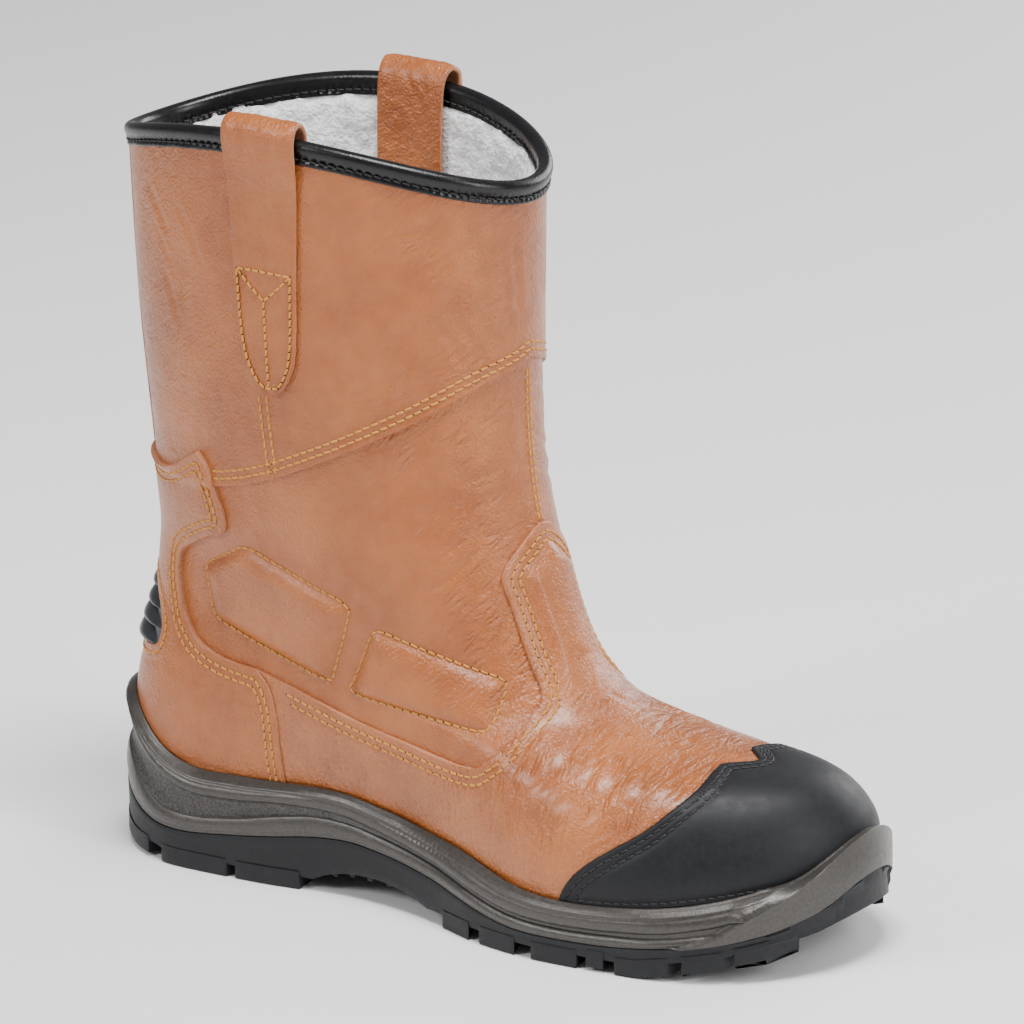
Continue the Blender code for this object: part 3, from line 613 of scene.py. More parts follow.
@dataclass(frozen=True)
class Plain:
    """Finish of one colour with fine speckle, such as rubber, coated leather or thread."""
    name: str
    colour: tuple
    dark: tuple
    roughness: float = .5
    speckle: float = 1.5 * MM
    grain: float = .5 * MM
    depth: float = .03 * MM
    specular: float = .5
    metallic: float = 0.0
    coat: float = 0.0
    sheen: float = 0.0

    def make(self) -> bpy.types.Material:
        """Builds the material."""
        n = Nodes(self.name)
        n.set(Base_Color=n.mix(n.ramp(n.noise(self.speckle, 4), .35, .65), self.dark, self.colour),
              Roughness=n.ramp(n.noise(self.speckle * 2, 3), .3, .7,
                               self.roughness - .05, self.roughness + .05),
              Specular_IOR_Level=self.specular, Metallic=self.metallic, Coat_Weight=self.coat,
              Sheen_Weight=self.sheen)
        n.bump((n.noise(self.grain, 3), self.depth))
        return n.material


FINISHES: dict[str, bpy.types.Material] = {}


def finishes() -> None:
    """Makes every finish once."""
    for item in (
            Leather("shaft_leather", crease_scale=(.3, .3, 1), crease_turn=(0, .75, .4),
                    crease_depth=.50 * MM),
            Leather("quarter_leather", crease_scale=(.3, .3, 1), crease_turn=(0, .9, .3)),
            Leather("vamp_leather", colour=(.415, .122, .027), roughness=.29,
                    crease_depth=.85 * MM, coat=.30),
            Leather("counter_leather", crease_scale=(.4, .4, .5), crease_depth=.4 * MM),
            Plain("raw_edge", (.50, .225, .125), (.36, .145, .070),
                  roughness=.72, speckle=.8 * MM, grain=.35 * MM, depth=.10 * MM, specular=.25),
            Plain("gold_thread", (.64, .29, .055), (.42, .17, .028),
                  roughness=.55, speckle=.5 * MM, grain=.2 * MM, depth=.03 * MM, specular=.4),
            Plain("black_thread", (.016, .016, .018), (.008, .008, .009),
                  roughness=.5, speckle=.5 * MM, grain=.2 * MM, depth=.03 * MM, specular=.4),
            # painted shade: a dark, dull finish stands for the shadow in the needle holes
            Plain("needle_hole_painted_shade", (.012, .005, .003), (.006, .003, .002),
                  roughness=.95, specular=.05),
            Plain("cap_coating", (.0105, .011, .0135), (.008, .0085, .010),
                  roughness=.50, speckle=2 * MM, grain=.55 * MM, depth=.035 * MM, specular=.26),
            Plain("rolled_black", (.004, .004, .005), (.003, .003, .004),
                  roughness=.30, speckle=3 * MM, grain=1.1 * MM, depth=.10 * MM, specular=.38),
            Plain("fleece", (.97, .965, .96), (.74, .735, .74),
                  roughness=.95, speckle=2.6 * MM, grain=1.5 * MM, depth=1.3 * MM, specular=.1,
                  sheen=.5),
            Plain("sole_grey", (.060, .054, .049), (.042, .038, .034),
                  roughness=.34, speckle=1.2 * MM, grain=.6 * MM, depth=.10 * MM, specular=.6,
                  metallic=.35),
            Plain("sole_rough", (.080, .073, .067), (.022, .020, .019),
                  roughness=.46, speckle=.9 * MM, grain=.7 * MM, depth=.45 * MM, specular=.6,
                  metallic=.3),
            Plain("tread_rubber", (.0085, .009, .011), (.006, .0064, .008),
                  roughness=.55, speckle=1.2 * MM, grain=.6 * MM, depth=.06 * MM, specular=.32),
            Plain("rib_rubber", (.022, .023, .027), (.016, .017, .020),
                  roughness=.33, speckle=2 * MM, grain=.8 * MM, depth=.02 * MM, specular=.5),
    ):
        FINISHES[item.name] = item.make()


@dataclass(frozen=True)
class Crease:
    """Soft trough in the leather, with a low ridge on either side."""
    line: tuple                       # girth angle in degrees, height share
    width: float = 1.6 * MM
    depth: float = .45 * MM

    def press(self, points: Array) -> Array:
        """Stand-off that the trough adds at points of the last."""
        line = np.array([(math.radians(g), h) for g, h in self.line])
        curve = drawn(line, closed=False, spacing=.6 * MM)
        line = Last.point(curve)
        low, high = line.min(0) - 4 * self.width, line.max(0) + 4 * self.width
        near = np.flatnonzero(((points > low) & (points < high)).all(-1))
        result = np.zeros(len(points))
        if not len(near):
            return result
        gap = np.full(len(near), 1e9)
        at = np.zeros(len(near))
        for i, p in enumerate(line):
            d = np.linalg.norm(points[near] - p, axis=1)
            closer = d < gap
            gap[closer], at[closer] = d[closer], i / (len(line) - 1)
        fade = smooth(np.minimum(at, 1 - at) / .25)
        shape = -bell(gap, self.width) + .45 * bell(gap - 1.9 * self.width, self.width)
        result[near] = self.depth * shape * fade
        return result


SHAFT_CREASES = tuple(Crease(line, width * MM, depth * MM) for line, width, depth in (
    (((314.8, .961), (309, .945), (303, .922)), 1.8, .45),
    (((307.8, .905), (303.5, .882), (299.8, .852)), 1.8, .40),
    (((299.2, .948), (294, .930), (289.2, .902)), 1.6, .35),
    (((311, .935), (307, .920), (302, .900)), 1.5, .30),
    (((202, .978), (199, .950), (197.2, .915)), 1.6, .40),
    (((191.5, .967), (188.5, .935), (186.5, .903)), 1.8, .45),
    (((249.8, .948), (247.5, .937), (245.7, .922)), 1.4, .30),
    (((213.2, .901), (206, .886), (200.2, .865)), 1.7, .40),
    (((221, .905), (214, .880), (209, .862)), 1.5, .35),
    (((196.2, .960), (194.2, .930), (193, .895)), 1.4, .35),
    (((158, .965), (162, .930), (165, .900)), 1.8, .45),
    (((148, .905), (155, .885), (160, .865)), 1.7, .40),
    (((48, .955), (55, .935), (61, .905)), 1.8, .40),
    (((30, .930), (38, .905), (44, .885)), 1.6, .35)))
QUARTER_CREASES = tuple(
    Crease(tuple((g if lateral else 360 - g, h) for g, h in line), width * MM, depth * MM)
    for lateral in (True, False) for line, width, depth in (
        (((219, .775), (206, .783), (193.3, .795)), 1.7, .60),
        (((217.2, .790), (206, .801), (195, .812)), 1.4, .45),
        (((208.8, .823), (199, .841), (189, .853)), 1.5, .50),
        (((212, .748), (200, .767), (189, .780)), 1.8, .60),
        (((230, .733), (218, .752), (207.2, .768)), 1.6, .45),
        (((228.8, .686), (216, .715), (205.2, .738)), 1.9, .50),
        (((238.5, .628), (227, .660), (215.8, .693)), 2.0, .45),
        (((246, .700), (238, .720), (229, .742)), 1.5, .30)))
VAMP_CREASES = tuple(Crease(line, width * MM, depth * MM) for line, width, depth in (
    (((219.2, .398), (236, .290), (251.2, .194)), 1.8, .50),
    (((213.5, .391), (230, .285), (246.5, .182)), 1.5, .40),
    (((213.8, .358), (229, .262), (242, .166)), 1.8, .50),
    (((222, .425), (240, .315), (255, .205)), 1.6, .40),
    (((213.8, .325), (226, .240), (237.2, .175)), 1.6, .40),
    (((221.8, .256), (228, .215), (233.5, .180)), 1.4, .35),
    (((184.8, .490), (177, .458), (169, .425)), 1.5, .40),
    (((160.8, .482), (151, .405), (143.5, .338)), 1.8, .50),
    (((152, .440), (138, .340), (124, .240)), 1.8, .45),
    (((149, .380), (136, .290), (122, .200)), 1.6, .45),
    (((196.8, .482), (193.5, .440), (191.2, .405)), 1.4, .35),
    (((177.5, .404), (178.5, .365), (179.2, .330)), 1.4, .35),
    (((203, .420), (190, .398), (172, .402)), 1.6, .40),
    (((205, .382), (188, .362), (166, .372)), 1.6, .40)))


def creased(points: Array, creases: Sequence[Crease]) -> Array:
    """Stand-off of several creases."""
    total = np.zeros(len(points))
    for crease in creases:
        total += crease.press(points)
    return total


@dataclass
class Seam:
    """Rows of stitches, each thread lying between two needle holes."""
    name: str
    slot: str
    pitch: float = 3.4 * MM
    thread: float = .43 * MM
    thread_finish: str = "gold_thread"
    slant: float = .16 * MM
    rise: float = .22 * MM
    hole: float = .42 * MM
    rows: list = field(default_factory=list)

    def along_skin(self, skin: "Skin", curve: Array, closed: bool = False) -> None:
        """Adds a row along a curve of places on a skin."""
        places = resampled(curve, self.pitch, closed)
        if closed:
            places = np.concatenate([places, places[:1]])
        self.rows.append((skin.point(places), Last.normal(places)))

    def along_points(self, points: Array, normals: Array) -> None:
        """Adds a row along a curve in space."""
        run = run_along(points)
        at = np.linspace(0, run[-1], max(2, round(run[-1] / self.pitch) + 1))
        points, normals = (np.column_stack([np.interp(at, run, v[:, k]) for k in range(3)])
                           for v in (points, normals))
        self.rows.append((points, normals / np.linalg.norm(normals, axis=1, keepdims=True)))

    def sew(self) -> None:
        """Builds all rows as one object."""
        share = np.array((0, .14, .36, .64, .86, 1))
        height = np.array((-.28, .12, .24, .24, .12, -.28)) * MM + (self.rise - .22 * MM)
        girth = np.array((.6, 1, 1.08, 1.08, 1, .6)) * self.thread
        angle = np.arange(6) * math.pi / 3
        vertices, faces, kinds, first = [], [], [], 0
        for points, normals in self.rows:
            start, end = points[:-1], points[1:]
            up = normals[:-1] + normals[1:]
            up /= np.linalg.norm(up, axis=1, keepdims=True)
            span = np.linalg.norm(end - start, axis=1, keepdims=True)
            ahead = (end - start) / np.maximum(span, 1e-9)
            side = np.cross(up, ahead)
            start, end = (start + side * self.slant + ahead * .12 * MM,
                          end - side * self.slant - ahead * .12 * MM)
            centre = start[:, None] + (end - start)[:, None] * share[None, :, None] \
                + up[:, None] * height[None, :, None]
            ring = np.cos(angle)[:, None, None] * side + np.sin(angle)[:, None, None] * up
            ring = ring.transpose(1, 0, 2)[:, None]
            body = centre[:, :, None] + girth[None, :, None, None] * ring
            count = len(start)
            vertices.append(body.reshape(-1, 3))
            block = quads(6, 6)[None] + first + 36 * np.arange(count)[:, None, None]
            faces.append(block.reshape(-1, 4))
            kinds.append(np.zeros(len(faces[-1]), int))
            first += 36 * count
            # needle holes: shallow dishes in a dark finish, painted shade where the holes are
            n = len(points)
            ahead = np.gradient(points, axis=0)
            side = np.cross(normals, ahead)
            side /= np.linalg.norm(side, axis=1, keepdims=True)
            ahead = np.cross(side, normals)
            rim = points[:, None] + self.hole * (np.cos(angle)[None, :, None] * side[:, None]
                                                 + np.sin(angle)[None, :, None] * ahead[:, None]) \
                + normals[:, None] * .07 * MM
            dish = np.concatenate([rim, (points + normals * .03 * MM)[:, None]], 1)
            vertices.append(dish.reshape(-1, 3))
            fan = np.array([(6, (k + 1) % 6, k) for k in range(6)])
            faces.append((fan[None] + first + 7 * np.arange(n)[:, None, None]).reshape(-1, 3))
            kinds.append(np.ones(len(faces[-1]), int))
            first += 7 * n
        obj = make_object(self.name, np.concatenate(vertices), faces,
                          [FINISHES[self.thread_finish], FINISHES["needle_hole_painted_shade"]],
                          np.concatenate(kinds), None)
        report(obj)


class Skin:
    """Surface over the last, given by how far it stands off."""

    def stand(self, places: Array) -> Array:
        """Stand-off at places."""
        raise NotImplementedError

    def point(self, places: Array) -> Array:
        """Points of the surface at places."""
        return Last.off(places, self.stand(places))


@dataclass
class Panel(Skin):
    """Leather piece cut to an outline and sewn onto the upper."""
    name: str
    outline: Array                              # places
    thickness: float
    finish: str
    node: str
    slot: str = "panel_leather"
    holes: tuple = ()
    edge_finish: str = "raw_edge"
    edge_round: float = .45 * MM
    channels: tuple = (3.0 * MM, 6.2 * MM)      # stitch rows inside the edge
    channel_depth: float = ROW_DEPTH
    shape: Callable[[Array, Array, Array], Array] | None = None
    crease: Callable[[Array, Array], Array] | None = None
    spacing: float = 1.5 * MM

    def __post_init__(self) -> None:
        """Draws the loops and prepares distances from them."""
        self.loops = [resampled(drawn(loop), .8 * MM, True) for loop in (self.outline, *self.holes)]
        self.near = Nearness(self.loops)

    def stand(self, places: Array) -> Array:
        """Stand-off: rounded edge, pressed stitch rows and the panel's own shape."""
        points = Last.point(places)
        gap = self.near.distance(points)
        edge = edge_rounding(gap, self.edge_round)
        press = sum((bell(gap - c, ROW_TROUGH) for c in self.channels), np.zeros(len(places)))
        stand = self.thickness + edge + shaft_lift(places) - self.channel_depth * press
        if self.channels:
            stand = stand + .12 * MM * smooth((gap - self.channels[-1]) / (6 * MM))
        if self.shape is not None:
            stand = stand + self.shape(places, points, gap)
        return stand

    def build(self) -> None:
        """Builds the panel's mesh."""
        places, triangles = self.patch()
        points = self.point(places)
        rim = self.rim(triangles)
        # raw edge: two rows below the rim, the last under the leather beneath
        ring = np.unique(rim)
        number = {v: i for i, v in enumerate(ring)}
        local = np.array([[number[a], number[b]] for a, b in rim])
        base = shaft_lift(places[ring])
        normal = Last.normal(places[ring])
        top = points[ring]
        rough = .10 * MM * cloud(top, 1.1 * MM, 3)[:, None]
        low = Last.point(places[ring]) + normal * (base[:, None] - .4 * MM)
        middle = (top + low) / 2 + normal * rough
        count, m = len(places), len(ring)
        bands = []
        a, b = local.T
        second, third = count + np.arange(m), count + m + np.arange(m)
        for upper, lower in ((ring, second), (second, third)):
            bands.append(np.stack([upper[b], upper[a], lower[a], lower[b]], -1))
        faces = [triangles, *bands]
        kinds = np.concatenate([np.zeros(len(triangles), int), np.ones(len(rim) * 2, int)])
        crease_and_shade_mask = self.crease(places, points) if self.crease else np.zeros(count)
        crease_and_shade_mask = np.concatenate([crease_and_shade_mask, np.zeros(2 * m)])
        obj = make_object(self.name, np.concatenate([points, middle, low]), faces,
                          [FINISHES[self.finish], FINISHES[self.edge_finish]], kinds, 60,
                          {"crease": crease_and_shade_mask})
        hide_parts(self.node)
        report(obj)

    @staticmethod
    def rim(triangles: Array) -> Array:
        """Directed edges that only one triangle has."""
        edges = np.concatenate([triangles[:, (0, 1)], triangles[:, (1, 2)], triangles[:, (2, 0)]])
        key = edges[:, 0].astype(np.int64) * 10_000_000 + edges[:, 1]
        back = edges[:, 1].astype(np.int64) * 10_000_000 + edges[:, 0]
        return edges[~np.isin(key, back)]

    def patch(self) -> tuple[Array, Array]:
        """Fine triangles over the panel, with rows that follow its edges.

        Returns:
            The places and the triangles.
        """
        outer = self.loops[0]
        low, high = outer.min(0), outer.max(0)
        middle = (low + high) / 2
        # nearly even plane: arc lengths at middle height and middle girth
        fine = 400
        steps = np.linspace(0, 1, fine)[:, None]
        girths = low[0] + (high[0] - low[0]) * steps[:, 0]
        heights = low[1] + (high[1] - low[1]) * steps[:, 0]
        line = Last.point(np.column_stack([girths, np.full(fine, middle[1])]))
        wide = run_along(line)
        tall = np.zeros(fine)
        for share in (.25, .5, .75):
            girth = np.full(fine, low[0] + (high[0] - low[0]) * share)
            line = Last.point(np.column_stack([girth, heights]))
            tall += run_along(line) / 3

        def flat(places: Array) -> Array:
            """Places laid out on the plane."""
            return np.column_stack([np.interp(places[:, 0], girths, wide),
                                    np.interp(places[:, 1], heights, tall)])

        def back(points: Array) -> Array:
            """Places that points of the plane stand for."""
            return np.column_stack([np.interp(points[:, 0], wide, girths),
                                    np.interp(points[:, 1], tall, heights)])

        points, edges = [], []
        first = 0
        for loop in self.loops:
            n = len(loop)
            points.append(flat(loop))
            edges += [(first + i, first + (i + 1) % n) for i in range(n)]
            first += n
        inner = sorted({.22 * MM, .5 * MM,
                        *(c + d for c in self.channels for d in (-ROW_TROUGH, 0, ROW_TROUGH))})
        for k, loop in enumerate(self.loops):
            for d in inner:
                row = beside(loop, d, hole=k > 0)
                points.append(flat(row[::2] if d > .6 * MM else row))
        deepest = inner[-1]
        rows = []
        count = max(4, int(tall[-1] / self.spacing * 1.35))
        for i, height in enumerate(np.linspace(low[1], high[1], count)):
            row = np.column_stack([girths, np.full(fine, height)])
            run = run_along(Last.point(row))
            at = np.arange((i % 2) * self.spacing / 2, run[-1], self.spacing)
            rows.append(np.column_stack([np.interp(at, run, girths), np.full(len(at), height)]))
        grid = np.concatenate(rows)
        keep = inside(grid, outer)
        for loop in self.loops[1:]:
            keep &= ~inside(grid, loop)
        grid = grid[keep]
        grid = grid[self.near.distance(Last.point(grid)) > deepest + .5 * self.spacing]
        points.append(flat(grid))
        points = np.concatenate(points)
        flat_points, _, triangles, *_ = delaunay_2d_cdt([Vector(p) for p in points], edges, [],
                                                        0, 1e-7)
        places = back(np.array([tuple(p) for p in flat_points]))
        triangles = np.array([tuple(t) for t in triangles])
        centre = places[triangles].mean(1)
        kept = inside(centre, outer)
        for loop in self.loops[1:]:
            kept &= ~inside(centre, loop)
        triangles = triangles[kept]
        used, triangles = np.unique(triangles, return_inverse=True)
        triangles = triangles.reshape(-1, 3)
        places = places[used]
        # faces look outwards
        a, b, c = (Last.point(places[triangles[:, k]]) for k in range(3))
        outward = (np.cross(b - a, c - a) * Last.normal(places[triangles[:, 0]])).sum(-1)
        triangles[outward < 0] = triangles[outward < 0][:, ::-1]
        return places, triangles

    def rows(self, seam: Seam, keep: Callable[[Array], Array] | None = None) -> None:
        """Adds the stitch rows inside the panel's edges to a seam; a hole has its first row alone.

        Args:
            seam: Seam that takes the rows.
            keep: Says which places along a row are sewn.
        """
        for k, loop in enumerate(self.loops):
            for channel in self.channels[:1] if k else self.channels:
                sewn(seam, self, beside(loop, channel, hole=k > 0), keep)


def sewn(seam: Seam, skin: Skin, row: Array, keep: Callable[[Array], Array] | None) -> None:
    """Adds a closed row to a seam, less the stretches that aren't kept."""
    gaps = np.linalg.norm(np.diff(Last.point(np.concatenate([row, row[:1]])), axis=0), axis=1)
    kept = np.ones(len(row), bool) if keep is None else keep(row)
    if kept.all() and gaps.max() < 5 * MM:
        seam.along_skin(skin, row, True)
        return
    # start at a break, so that no stretch runs over the end of the list
    breaks = np.flatnonzero(~kept | (gaps > 5 * MM))
    start = (breaks[0] + 1) % len(row) if len(breaks) else 0
    row, kept, gaps = (np.roll(v, -start, 0) for v in (row, kept, gaps))
    stretch = []
    for place, use, gap in zip(row, kept, gaps):
        if use:
            stretch.append(place)
        if (not use or gap > 5 * MM) and stretch:
            if len(stretch) > 8:
                seam.along_skin(skin, np.array(stretch))
            stretch = []
    if len(stretch) > 8:
        seam.along_skin(skin, np.array(stretch))


@dataclass(frozen=True)
class Pad:
    """Foam pad sewn in under the leather over the ankle."""
    outline: Sequence
    side: Side
    loft: float = 3.5 * MM
    shoulder: float = 3.2 * MM
    corner: float = 2.6 * MM

    def curve(self) -> Array:
        """The stitched outline: straight edges with small round corners."""
        corners = on_side(self.outline, self.side) * PLANE
        rows = []
        for i, here in enumerate(corners):
            after = corners[(i + 1) % len(corners)]
            for other, cuts in ((corners[i - 1], (2.2, 1)), (after, (1, 2.2))):
                way = (other - here) / np.linalg.norm(other - here)
                rows += [here + way * self.corner * cut for cut in cuts]
        return drawn(np.array(rows) / PLANE)

    def lift(self, places: Array, points: Array) -> Array:
        """Stand-off that the pad adds."""
        curve = resampled(self.curve(), .8 * MM, True)
        line = Last.point(curve)
        low, high = line.min(0) - 5 * MM, line.max(0) + 5 * MM
        near = np.flatnonzero(((points > low) & (points < high)).all(-1))
        result = np.zeros(len(points))
        if len(near):
            gap = Nearness([curve]).distance(points[near])
            within = inside(places[near], curve)
            swell = self.loft * (1 - np.exp(-(np.maximum(gap - .3 * MM, 0) / self.shoulder) ** 1.3))
            result[near] = np.where(within, swell, 0) - .55 * MM * bell(gap, .9 * MM)
        return result


@dataclass
class Shaft(Skin):
    """Tall leather tube from the diagonal seam to the collar."""
    columns: int = 440
    rows: int = 84
    channels: tuple = (3.0 * MM, 5.7 * MM)
    side_seam: float = 271.5
    per_degree: float = 1.45 * MM               # run of one degree of girth at the side
    seam_row: float = 1.7 * MM                  # stitch rows beside a side seam's middle
    creases: tuple = SHAFT_CREASES

    def __post_init__(self) -> None:
        """Prepares the distance from the seam's edge."""
        girth = np.linspace(0, 2 * math.pi, 500, endpoint=False)
        self.edge = np.column_stack([girth, seam_height(girth)])
        self.near = Nearness([self.edge])

    def stand(self, places: Array) -> Array:
        """Stand-off of the shaft's outside."""
        points = Last.point(places)
        gap = self.near.distance(points)
        edge = edge_rounding(gap, .5 * MM)
        press = sum(bell(gap - c, ROW_TROUGH) for c in self.channels)
        stand = SHAFT_STEP + .35 * MM * np.exp(-gap / (6 * MM)) + edge - ROW_DEPTH * press
        # closed seam down each side, pressed flat between its two rows
        turn = turn_of(places)
        for middle in (self.side_seam, 360 - self.side_seam):
            across = (turn - middle) * self.per_degree
            stand += closed_seam(across, .25 * MM, 3.2 * MM, self.seam_row)
        return stand + creased(points, self.creases) + .35 * MM * cloud(points, 26 * MM, 2)

    def build(self) -> None:
        """Builds the tube, with a raw edge at the seam."""
        girth = np.arange(self.columns) * 2 * math.pi / self.columns
        seam = seam_height(girth)
        share = np.concatenate([[0, .003, .007, .012, .019], np.linspace(.027, 1, self.rows)])
        places = np.stack([np.broadcast_to(girth, (len(share), self.columns)),
                           seam + (1 - seam) * share[:, None]], -1)
        flat = places.reshape(-1, 2)
        points = self.point(flat).reshape(places.shape[:2] + (3,))
        normal = Last.normal(places[0])
        low = Last.point(places[0]) - normal * .3 * MM
        middle = (low + points[0]) / 2 + normal * .12 * MM * cloud(low, 1.2 * MM, 5)[:, None]
        grid = np.concatenate([[low, middle], points])
        faces = quads(len(grid), self.columns)
        kinds = np.where(np.arange(len(faces)) < 2 * self.columns, 1, 0)
        crease_and_shade_mask = np.concatenate([np.zeros(2 * self.columns), self.creasing(flat)])
        obj = make_object("shaft_skin", grid.reshape(-1, 3), [faces],
                          [FINISHES["shaft_leather"], FINISHES["raw_edge"]], kinds, 70,
                          {"crease": crease_and_shade_mask})
        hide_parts("upper")
        report(obj)

    def creasing(self, places: Array) -> Array:
        """How strongly the fine creases and their painted shade show, most at the front and back."""
        turn = turn_of(places)
        front = bell(turn - 205, 34) * .9 + bell(turn - 155, 40) * .7
        back = bell(turn - 318, 22) * .55 + bell(turn - 40, 25) * .5
        return np.clip(.38 + front + back, 0, 1)

    def sew(self) -> None:
        """Stitches the diagonal seam and the side seams."""
        seam = Seam("shaft_stitches", "panel_leather")
        for channel in self.channels:
            row = beside(self.edge, channel)
            above = row[:, 1].mean() > self.edge[:, 1].mean()
            high = row if above else beside(self.edge, channel, hole=True)
            turn = turn_of(high)
            kept = (turn > 66) & (turn < 294)            # the counter's tab covers the back
            order = np.argsort(turn[kept])
            seam.along_skin(self, high[kept][order])
        for middle in (self.side_seam, 360 - self.side_seam):
            for across in (-self.seam_row, self.seam_row):
                girth = math.radians(middle + across / self.per_degree)
                low = float(seam_height(np.array([girth]))[0]) + .004
                seam.along_skin(self, np.array([(girth, h) for h in np.linspace(low, .818, 60)]))
        seam.sew()


@dataclass
class Quarter(Skin):
    """Leather from the sole to the diagonal seam, with the ankle pads under it."""
    columns: int = 440
    per_degree: float = 1.35 * MM               # run of one degree of girth at the front
    seam_row: float = 1.5 * MM                  # stitch rows beside the front seam's middle
    pads: tuple = tuple(Pad(outline, side) for outline in (REAR_PAD, FRONT_PAD) for side in Side)
    creases: tuple = QUARTER_CREASES

    def stand(self, places: Array) -> Array:
        """Stand-off of the quarter's outside."""
        points = Last.point(places)
        stand = creased(points, self.creases) + .3 * MM * cloud(points, 24 * MM, 4)
        for pad in self.pads:
            stand += pad.lift(places, points)
        turn = turn_of(places)
        across = (turn - 180) * self.per_degree
        high = smooth((places[:, 1] - .70) / .02)
        stand += high * closed_seam(across, .3 * MM, 3.4 * MM, self.seam_row)
        return np.maximum(stand, -.5 * MM) - .1 * MM

    def build(self) -> None:
        """Builds the tube from the sole up to under the shaft."""
        girth = np.arange(self.columns) * 2 * math.pi / self.columns
        top = seam_height(girth) + .006
        low = np.linspace(0, .2, 12)[:-1]
        share = np.linspace(0, 1, 106)
        heights = np.concatenate([np.repeat(low[:, None], self.columns, 1),
                                  .2 + (top - .2) * share[:, None]])
        places = np.stack([np.broadcast_to(girth, heights.shape), heights], -1)
        flat = places.reshape(-1, 2)
        obj = make_object("quarter_skin", self.point(flat), [quads(len(heights), self.columns)],
                          [FINISHES["quarter_leather"]], None, None,
                          {"crease": self.creasing(flat)})
        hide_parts("upper", *(f"ankle_pad_{end}_{side.name.lower()}" for end in ("rear", "front")
                                    for side in Side))
        report(obj)

    def creasing(self, places: Array) -> Array:
        """How strongly the fine creases and their painted shade show, most up the front."""
        turn = turn_of(places)
        front = bell(turn - 215, 30) + bell(turn - 145, 30)
        high = smooth((places[:, 1] - .42) / .12)
        return np.clip(.30 + front * (.45 + .55 * high), 0, 1)

    def sew(self) -> None:
        """Stitches the pads' outlines and the front seam."""
        seam = Seam("quarter_stitches", "panel_leather")
        for pad in self.pads:
            seam.along_skin(self, pad.curve(), True)
        for across in (-self.seam_row, self.seam_row):
            girth = math.pi + math.radians(across / self.per_degree)
            seam.along_skin(self, np.array([(girth, h) for h in np.linspace(.733, .866, 60)]))
        seam.sew()


